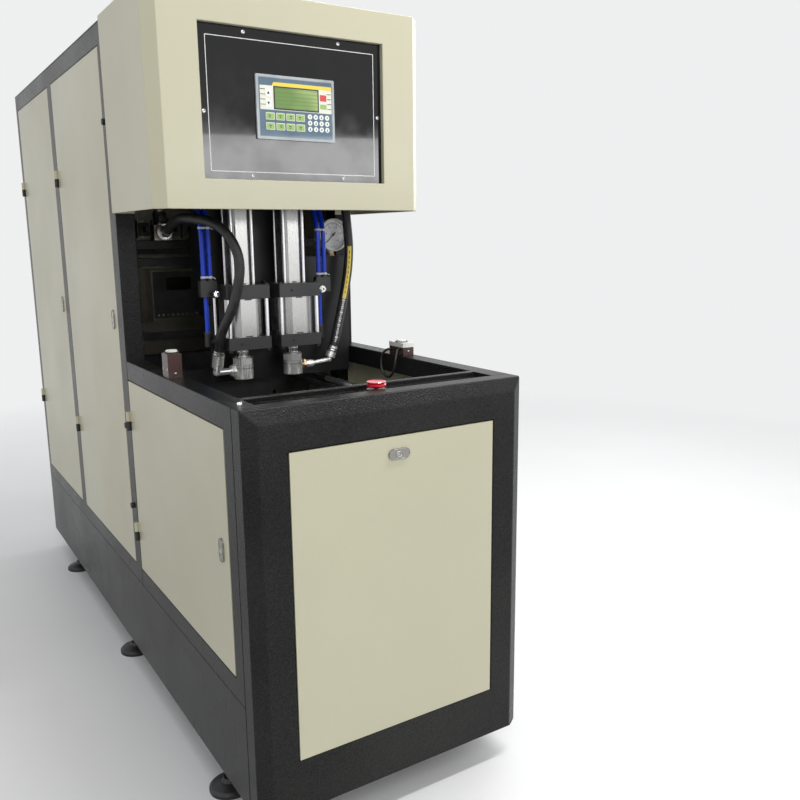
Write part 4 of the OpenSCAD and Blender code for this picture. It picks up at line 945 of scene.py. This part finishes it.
def add_strip(bm, path, toward, spread, lift):
    """A closed thin strip on a hose, on the side that faces a point."""
    rings = []
    angles = [-spread + 2 * spread * k / 4 for k in range(5)]
    for place, t in zip(path, tangents(path)):
        out = toward - place
        out = (out - out.dot(t) * t).normalized()
        side = t.cross(out)
        rings.append([bm.verts.new(place + r * (math.cos(a) * out + math.sin(a) * side))
                      for r, row in ((HOSE_D / 2 + lift, angles),
                                     (HOSE_D / 2 - 0.0008, reversed(angles))) for a in row])
    bridge(bm, rings)
    bm.faces.new(rings[0])
    bm.faces.new(rings[-1])


def fine(path, step=0.002):
    """The same path with closer points."""
    points = []
    for a, b in zip(path, path[1:]):
        count = max(1, int((b - a).length / step))
        points += [a.lerp(b, k / count) for k in range(count)]
    return points + [path[-1]]


def make_sleeve(name, path, body, grooves=5):
    """A crimped sleeve on the end of a hose, with grooves round it."""
    with new_piece(name, "zinc", "machined_steel", body) as bm:
        add_tube(bm, fine(path, 0.0015),
                 lambda t: HOSE_D / 2 + 0.0016 + 0.0006 * math.cos(2 * math.pi * grooves * t)
                 - 0.0008 * (t < 0.04 or t > 0.96), 32)


def make_hose_marks(name, material, strips):
    """Print on the right hose: path, half angle and lift of each strip."""
    eye = CAMERA_AT + Vector((0.5, 0, 0))
    bm = bmesh.new()
    for path, spread, lift in strips:
        add_strip(bm, path, eye, spread, lift)
    blend_right(finish_mesh(name, bm, material, None))


def make_hose_parts(left_path, right_path):
    left_l, right_l = path_length(left_path), path_length(right_path)
    make_sleeve("left_hose_sleeve_top", part_of(left_path, 0.0008, 0.03), "machine")
    make_sleeve("left_hose_sleeve_low", part_of(left_path, left_l - 0.011, left_l - 0.001),
                "left_seal", 1)
    make_sleeve("right_hose_sleeve_low", part_of(right_path, 0.001, 0.016), "right_seal", 2)
    make_sleeve("right_hose_sleeve_top", part_of(right_path, right_l - 0.03, right_l - 0.0008),
                "machine")
    make_hose_marks("hose_stripe", "yellow",
                    [(part_of(right_path, STRIPE_START, STRIPE_END), 0.42, 0.0004)])
    starts = [0.172 + 0.0145 * k for k in range(9)]
    make_hose_marks("hose_stripe_marks", "key_dark",
                    [(part_of(right_path, start, start + 0.008), 0.07, 0.0006) for start in starts])
    letters, where = [], PRINT_START
    while where < PRINT_END:
        k = len(letters)
        length = PRINT_LENGTHS[k % 4]
        letters.append((fine(part_of(right_path, where, where + length)), 0.16 + 0.08 * (k % 3),
                        0.0004))
        where += length + PRINT_GAP
    make_hose_marks("hose_print", "print_white", letters)


def group_outline(radius, centres):
    """The line that a strap takes round the tubes of one group."""
    points, count = [], 40
    for i in range(count):
        a = 2 * math.pi * (i + 0.5) / count
        x, y = max(centres, key=lambda c: c[0] * math.cos(a) + c[1] * math.sin(a))
        points.append((x + radius * math.cos(a), y + radius * math.sin(a)))
    return points


def make_ties():
    centres = [(-AIR_STEP, 0.0), (AIR_STEP, 0.0), (0.0, LONG_TUBE_BACK)]
    outer, inner = group_outline(0.0074, centres), group_outline(0.0062, centres)
    for (word, side), heights in zip(SIDES, ((1.325, 1.1985), (1.319, 1.1975))):
        with new_piece(f"{word}_cable_ties", "tie_white", "blue_tube") as bm:
            for z in heights:
                place = at(side * AIR_X, AIR_Y + (0.0037 if z > 1.3 else 0.0), z)
                for height in (-0.0022, 0.0004):
                    add_ring_plate(bm, outer, inner, place + Vector((0, 0, height)), UP, 0.0022)
                add_box(bm, place + Vector((0.004, -0.0115, -0.0033)),
                        place + Vector((0.0105, -0.0063, 0.0033)), 0.0008)
                tail = ((0.0105, -0.009, 0), (0.015, -0.0105, -0.001), (0.019, -0.0135, -0.004))
                add_tube(bm, [place + Vector(p) for p in tail], 0.0012, 8)


def make_tube_parts():
    """Collars where the air tubes enter their fittings, and the flow knob."""
    collar = [(0.0062, -SINK), (0.0086, -SINK), (0.0086, 0.004), (0.0078, 0.0055),
              (0.0062, 0.0055), (0.0062, -SINK)]
    with new_piece("tube_collars", "black_plastic", "black_plastic") as bm:
        for _, side in SIDES:
            for x, y, z in ((AIR_X - AIR_STEP, AIR_Y, 1.189), (AIR_X + AIR_STEP, AIR_Y, 1.189),
                            (AIR_X, AIR_Y + LONG_TUBE_BACK, 1.048)):
                add_lathe(bm, collar, at(side * x, y, z), UP, 24)
    with new_piece("flow_knob", "chrome", "black_plastic") as bm:
        place = at(-KNOB_X, KNOB_Y, KNOB_Z)
        add_lathe(bm, [(0.0045, -0.001), (0.0045, 0.006), (0.0038, 0.0065), (0, 0.0065)], place,
                  FRONT, 24)
        add_prism(bm, star_outline(0.0092, 7, 0.003), place - Vector((0, 0.005, 0)), FRONT,
                  0.0075, radius=0.0008)


def make_valve_parts():
    with new_piece("valve_nuts", "zinc", "brass_valve") as bm:
        add_hex_nut(bm, at(KNOB_X, KNOB_Y, KNOB_Z), FRONT, 0.0085, 0.007, 0.3)
        for x in VALVE_X:
            add_hex_nut(bm, at(x, VALVE_Y, VALVE_Z), BACK, 0.019, 0.014, 0.7)
        add_lathe(bm, [(0.009, -0.0005), (0.009, 0.004), (0.006, 0.006), (0, 0.006)],
                  at(VALVE_X[1], VALVE_Y, VALVE_Z), FRONT, 24)
    with new_piece("valve_coils", "black_plastic", "brass_valve") as bm:
        for x in VALVE_X:
            add_lathe(bm, [(0.0152, 0.004), (0.0178, 0.005), (0.0178, 0.034), (0.0152, 0.036),
                           (0.0152, 0.004)], at(x, 0.917, 1.337), UP, 32)
            add_box(bm, at(x - 0.011, 0.888, 1.345), at(x + 0.011, 0.903, 1.367), 0.0015)


# Pressure gauge: dial, scale, numbers, hub, rim, glass and nut

GAUGE_X, GAUGE_Z = 0.245, 1.305
DIAL_Y = 0.7355
TICK_END_R, ARC_R, NUMBER_R = 0.0345, 0.0352, 0.0235
NUMBER_SIZE = 0.0078
SCALE_START, SCALE_SWEEP, SCALE_TICKS, SCALE_NUMBERS = 225, 270, 50, 5


def make_gauge_number(name, text, place):
    """A number on the dial, as a mesh."""
    curve = bpy.data.curves.new(name, "FONT")
    curve.body = text
    curve.size = NUMBER_SIZE
    curve.extrude = 0.0002
    curve.align_x = curve.align_y = "CENTER"
    curve.materials.append(MAT["key_dark"])
    label = link_object(name, curve)
    depsgraph = bpy.context.evaluated_depsgraph_get()
    mesh = bpy.data.meshes.new_from_object(label.evaluated_get(depsgraph))
    bpy.data.objects.remove(label)
    made = link_object(name, mesh)
    made.location = place
    made.rotation_euler = (math.pi / 2, 0, 0)
    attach(made, "machine")


def make_gauge_scale():
    face = at(GAUGE_X, DIAL_Y - 0.0005, GAUGE_Z)
    with new_piece("gauge_scale", "key_dark", "white_case") as bm:
        for i in range(SCALE_TICKS + 1):
            a = math.radians(SCALE_START - SCALE_SWEEP * i / SCALE_TICKS)
            long, wide = 0.0028, 0.0004
            if i % 10 == 0:
                long, wide = 0.0062, 0.0007
            elif i % 5 == 0:
                long = 0.0045
            up = Vector((math.cos(a), 0, math.sin(a)))
            add_prism(bm, [(-wide, -long / 2), (wide, -long / 2), (wide, long / 2),
                           (-wide, long / 2)],
                      face + up * (TICK_END_R - long / 2), FRONT, 0.0003, up=up)
        arc = round_outline(ARC_R, 72)
        add_ring_plate(bm, arc, scaled(arc, 0.985), face, FRONT, 0.0003)
    for i in range(SCALE_NUMBERS + 1):
        a = math.radians(SCALE_START - SCALE_SWEEP / SCALE_NUMBERS * i)
        make_gauge_number(f"gauge_number_{i}", str(round(i * 0.8, 1)),
                          at(GAUGE_X + NUMBER_R * math.cos(a), DIAL_Y - 0.0007,
                             GAUGE_Z + NUMBER_R * math.sin(a)))


def make_gauge():
    def turned(name, material, profile, y, sides, body="machine", slot="white_case", smooth=35):
        with new_piece(name, material, slot, body, smooth) as bm:
            add_lathe(bm, profile, at(GAUGE_X, y, GAUGE_Z), FRONT, sides)

    turned("gauge_dial", "dial", [(0, 0), (0.0408, 0), (0.0408, 0.0006), (0.0404, 0.0009),
                                  (0, 0.0009)], DIAL_Y + 0.0003, 64)
    make_gauge_scale()
    turned("gauge_hub", "key_dark", [(0, 0), (0.0032, 0), (0.0032, 0.0022), (0.0026, 0.003),
                                     (0, 0.003)], 0.7312, 24, "needle", "needle_black")
    turned("gauge_rim", "white_plastic",
           [(0.0405, 0.0), (0.0466, -0.0008), (0.0472, -0.004), (0.0472, 0.0015),
            (0.0462, 0.0034), (0.0425, 0.0034), (0.0405, 0.002), (0.0405, 0.0)], 0.7275, 72,
           smooth=50)
    turned("gauge_glass", "glass", [(0, 0.0), (0.0408, 0.0), (0.0408, 0.0009), (0.03, 0.0016),
                                    (0, 0.002)], 0.7288, 64)
    with new_piece("gauge_nut", "brass", "brass_valve") as bm:
        add_hex_nut(bm, at(GAUGE_X, 0.7548, 1.2435), UP, 0.0125, 0.011, 0.72)


# Start switches, stop button and the bolt on the rail

SWITCH_X = {"left": -0.327, "right": 0.323}
SWITCH_Y = 0.49
# Place and axis of each screw in the switch boxes
SWITCH_SCREWS = (((-0.344, 0.4745, 0.995), (-1, 0, 0)), ((-0.344, 0.5055, 0.995), (-1, 0, 0)),
                 ((0.323, 0.454, 0.986), FRONT), ((-0.327, 0.468, 0.985), FRONT))


def make_switches():
    with new_piece("right_switch_top", "white_plastic", "black_plastic") as bm:
        outer = at_even_angles(rounded_outline(0.037, 0.075, 0.003))
        add_ring_plate(bm, outer, hole_in(outer, 0.0152), at(SWITCH_X["right"], SWITCH_Y, 0.9975),
                       UP, 0.0120)
    with new_piece("switch_rings", "key_dark", "black_plastic") as bm:
        ring = round_outline(0.0178, 40)
        for word, z, height in (("left", 1.032, 0.0035), ("right", 1.0095, 0.002)):
            add_ring_plate(bm, ring, scaled(ring, 0.86), at(SWITCH_X[word], SWITCH_Y, z), UP,
                           height)
    make_cross_screws("switch", "zinc", 0.0028,
                      [(at(*place), axis, 0.6) for place, axis in SWITCH_SCREWS])
    for word, z in (("left", 1.038), ("right", 1.014)):
        with new_piece(f"{word}_button_cap", "white_plastic", "white_case", f"{word}_start") as bm:
            add_lathe(bm, [(0, -0.0006), (0.0136, -0.0006), (0.0136, 0.0004), (0.0128, 0.0012),
                           (0.0115, 0.0009), (0, 0.0003)], at(SWITCH_X[word], SWITCH_Y, z), UP, 40)
    with new_piece("stop_button_cap", "red_plastic", "red_plastic", "stop") as bm:
        add_lathe(bm, [(0, -0.0006), (0.0216, -0.0006), (0.0218, 0.0002), (0.0208, 0.0012),
                       (0.018, 0.0012), (0.0165, 0.0006), (0, 0.0012)], at(0, 0.09, 0.9853), UP, 48)
    with new_piece("rail_bolt", "chrome", "chromed_steel") as bm:
        add_lathe(bm, [(0.0055, -SINK), (0.0055, 0.004), (0.0045, 0.006), (0, 0.0068)],
                  at(-0.325, 0.075, 0.974), UP, 24)


# Electric panel: device faces, switches, terminals and duct covers

BOARD_Y = 1.913
DUCT_HEIGHTS = (0.901, 1.2394, 1.4321, 1.6389)


def add_face(bm, x, depth, z, radius=0.0):
    """A box in front of the board, from its spans across, forward of the board and up."""
    add_box(bm, at(x[0], BOARD_Y - depth[0], z[0]), at(x[1], BOARD_Y - depth[1], z[1]), radius)


def make_devices():
    cases, tops, ends = bmesh.new(), bmesh.new(), bmesh.new()

    def terminal(x, depth, z, profile):
        add_lathe(ends, profile, at(x, BOARD_Y - depth, z), FRONT, 12)

    for i in range(5):  # contactors
        x = -0.25 + i * 0.1
        add_face(cases, (x + 0.004, x + 0.076), (0.0735, 0.0695), (1.512, 1.59), 0.0015)
        add_face(tops, (x + 0.022, x + 0.058), (0.0775, 0.073), (1.533, 1.569), 0.001)
        for k in range(4):
            for z in (1.507, 1.595):
                terminal(x + 0.013 + 0.018 * k, 0.07, z,
                         [(0.0042, -0.0003), (0.0042, 0.001), (0.0036, 0.0014), (0, 0.0014)])
    for i in range(8):  # circuit breakers
        x = -0.25 + i * 0.06
        add_face(cases, (x + 0.003, x + 0.047), (0.0525, 0.0495), (1.309, 1.362), 0.001)
        add_face(tops, (x + 0.018, x + 0.032), (0.0605, 0.052), (1.327, 1.345), 0.0015)
        for z in (1.3045, 1.3675):
            terminal(x + 0.025, 0.05, z, [(0.0035, -0.0003), (0.0035, 0.001), (0, 0.0013)])
    add_face(cases, (-0.245, -0.065), (0.0635, 0.0595), (1.008, 1.173), 0.002)  # power supply
    for i in range(9):
        z = 1.02 + 0.016 * i
        add_face(tops, (-0.235, -0.075), (0.0655, 0.063), (z, z + 0.006), 0.0006)
    add_face(cases, (0.025, 0.225), (0.0945, 0.0895), (0.99, 1.172), 0.003)  # drive
    add_face(tops, (0.075, 0.175), (0.0975, 0.094), (1.1, 1.15), 0.0012)
    for i in range(10):
        terminal(0.04 + 0.019 * i, 0.0945, 1.002,
                 [(0.0045, -0.0003), (0.0045, 0.0012), (0, 0.0016)])
    finish_mesh("device_cases", cases, "grey_plastic")
    finish_mesh("device_switches", tops, "black_plastic")
    finish_mesh("device_terminals", ends, "zinc")
    with new_piece("wire_duct_covers", "grey_plastic", "zinc_plate") as bm:
        for z in DUCT_HEIGHTS:
            add_face(bm, (-0.281, 0.281), (0.0418, 0.0398), (z - 0.0008, z + 0.0308), 0.0006)
            for i in range(44):
                x = -0.2752 + 0.0128 * i
                add_face(bm, (x - 0.0022, x + 0.0022), (0.0432, 0.0412), (z + 0.004, z + 0.026))


# Clamp: bolts of the two moving platens, and nuts on the tie rods of its cylinder

CLAMP_Z = 0.7
PLATEN_BOLT_X, PLATEN_BOLT_Z = 0.13, 0.12
CYLINDER_NUT = 0.08
CYLINDER_END_Y = 1.698


def make_clamp_hardware():
    for word, y, axis in (("front", 0.363, FRONT), ("rear", 0.983, BACK)):
        with new_piece(f"{word}_platen_bolts", "oxide", "machined_steel", f"{word}_clamp") as bm:
            for a, b in CORNERS:
                add_socket_screw(bm, at(a * PLATEN_BOLT_X, y, CLAMP_Z + b * PLATEN_BOLT_Z), axis,
                                 0.009, 0.009)
    with new_piece("clamp_cylinder_nuts", "zinc", "machined_steel") as bm:
        for a, b in CORNERS:
            add_hex_nut(bm, at(a * CYLINDER_NUT, CYLINDER_END_Y, CLAMP_Z + b * CYLINDER_NUT),
                        BACK, 0.014, 0.013)


make_panel_face()
make_keypad()
make_locks()
make_cylinder_hardware()
make_hose_parts(left_path, right_path)
make_ties()
make_tube_parts()
make_valve_parts()
make_gauge()
make_switches()
make_devices()
make_clamp_hardware()

# Floor, light and picture settings

BACKDROP = (0.86, 0.865, 0.87)
FLOOR_REACH = 30
FADE_START, FADE_END = 1.6, 4.6
# Name, place, target, width and height, and power of each lamp
LAMPS = (("key_front", (-1.2, -4.2, 3.4), (0, -0.4, 0.9), (3.0, 2.2), 58),
         ("low_front", (0.5, -4.1, 0.9), (0, -0.4, 1.1), (3.0, 1.2), 7),
         ("fill_left", (-4.2, 0.2, 2.6), (0, 0, 1.0), (2.4, 2.4), 18),
         ("top", (0.7, -0.2, 4.6), (0.2, 0, 0), (4.2, 4.2), 50),
         ("edge_strip", (1.5, -1.7, 3.5), (1.5, -1.0, 0.9), (2.4, 0.12), 62),
         ("panel_strip", (1.6, -3.9, 1.8), (0.8, -0.8, 1.3), (1.7, 0.3), 15),
         ("rim_right", (3.6, 0.8, 2.6), (0, 0, 1.0), (2.0, 2.4), 40))


def seen_directly(tree):
    """1 on rays from the camera, from a mirror or through glass, and 0 on rays that carry light."""
    path = add_node(tree, "ShaderNodeLightPath").outputs
    total = path["Is Camera Ray"]
    for name in ("Is Glossy Ray", "Is Transmission Ray"):
        total = add_node(tree, "ShaderNodeMath", {0: total, 1: path[name]},
                         operation="MAXIMUM").outputs[0]
    return total


def make_stage():
    """A pale floor that fades into the backdrop a few metres out."""
    bm = bmesh.new()
    bmesh.ops.create_grid(bm, x_segments=1, y_segments=1, size=FLOOR_REACH)
    mesh = bpy.data.meshes.new("floor")
    bm.to_mesh(mesh)
    bm.free()
    floor = link_object("floor", mesh)
    s = Shader("pale_floor", (0.8, 0.8, 0.79), 0.5)
    s.tint(s.noise(1.5, detail=4), 0.35, 0.7, (0.82, 0.815, 0.81), (0.78, 0.775, 0.77))
    s.bump(s.noise(160, detail=3), 0.05, 0.0004)
    away = s.node("ShaderNodeVectorMath", {0: s.coords}, operation="LENGTH")
    distance = s.spread(away.outputs["Value"], FADE_START, FADE_END, 0, 1)
    far = s.node("ShaderNodeEmission", {"Color": (*BACKDROP, 1)})
    fade = s.node("ShaderNodeMixShader", {
        "Fac": s.join(distance, seen_directly(s.tree), "MULTIPLY"), 1: s.bsdf.outputs[0],
        2: far.outputs[0]})
    s.tree.links.new(fade.outputs[0], s.tree.nodes["Material Output"].inputs["Surface"])
    mesh.materials.append(s.mat)


def make_lamp(name, place, target, size, energy):
    data = bpy.data.lights.new(name, "AREA")
    data.shape = "RECTANGLE"
    data.size, data.size_y = size
    data.energy = energy
    lamp = link_object(name, data)
    lamp.location = place
    lamp.rotation_mode = "QUATERNION"
    lamp.rotation_quaternion = (Vector(target) - Vector(place)).to_track_quat("-Z", "Y")


def make_world():
    """Soft light all round, and a pale backdrop where the camera sees past the floor."""
    world = bpy.data.worlds.new("studio")
    bpy.context.scene.world = world
    world.use_nodes = True
    tree = world.node_tree
    light = tree.nodes["Background"]
    light.inputs["Color"].default_value = (0.93, 0.96, 1.0, 1)
    light.inputs["Strength"].default_value = 0.5
    seen = add_node(tree, "ShaderNodeBackground", {"Color": (*BACKDROP, 1), "Strength": 1.0})
    mix = add_node(tree, "ShaderNodeMixShader", {
        "Fac": seen_directly(tree), 1: light.outputs[0], 2: seen.outputs[0]})
    tree.links.new(mix.outputs[0], tree.nodes["World Output"].inputs["Surface"])


make_stage()
make_world()
for lamp in LAMPS:
    make_lamp(*lamp)
bpy.context.scene.view_settings.view_transform = "Standard"
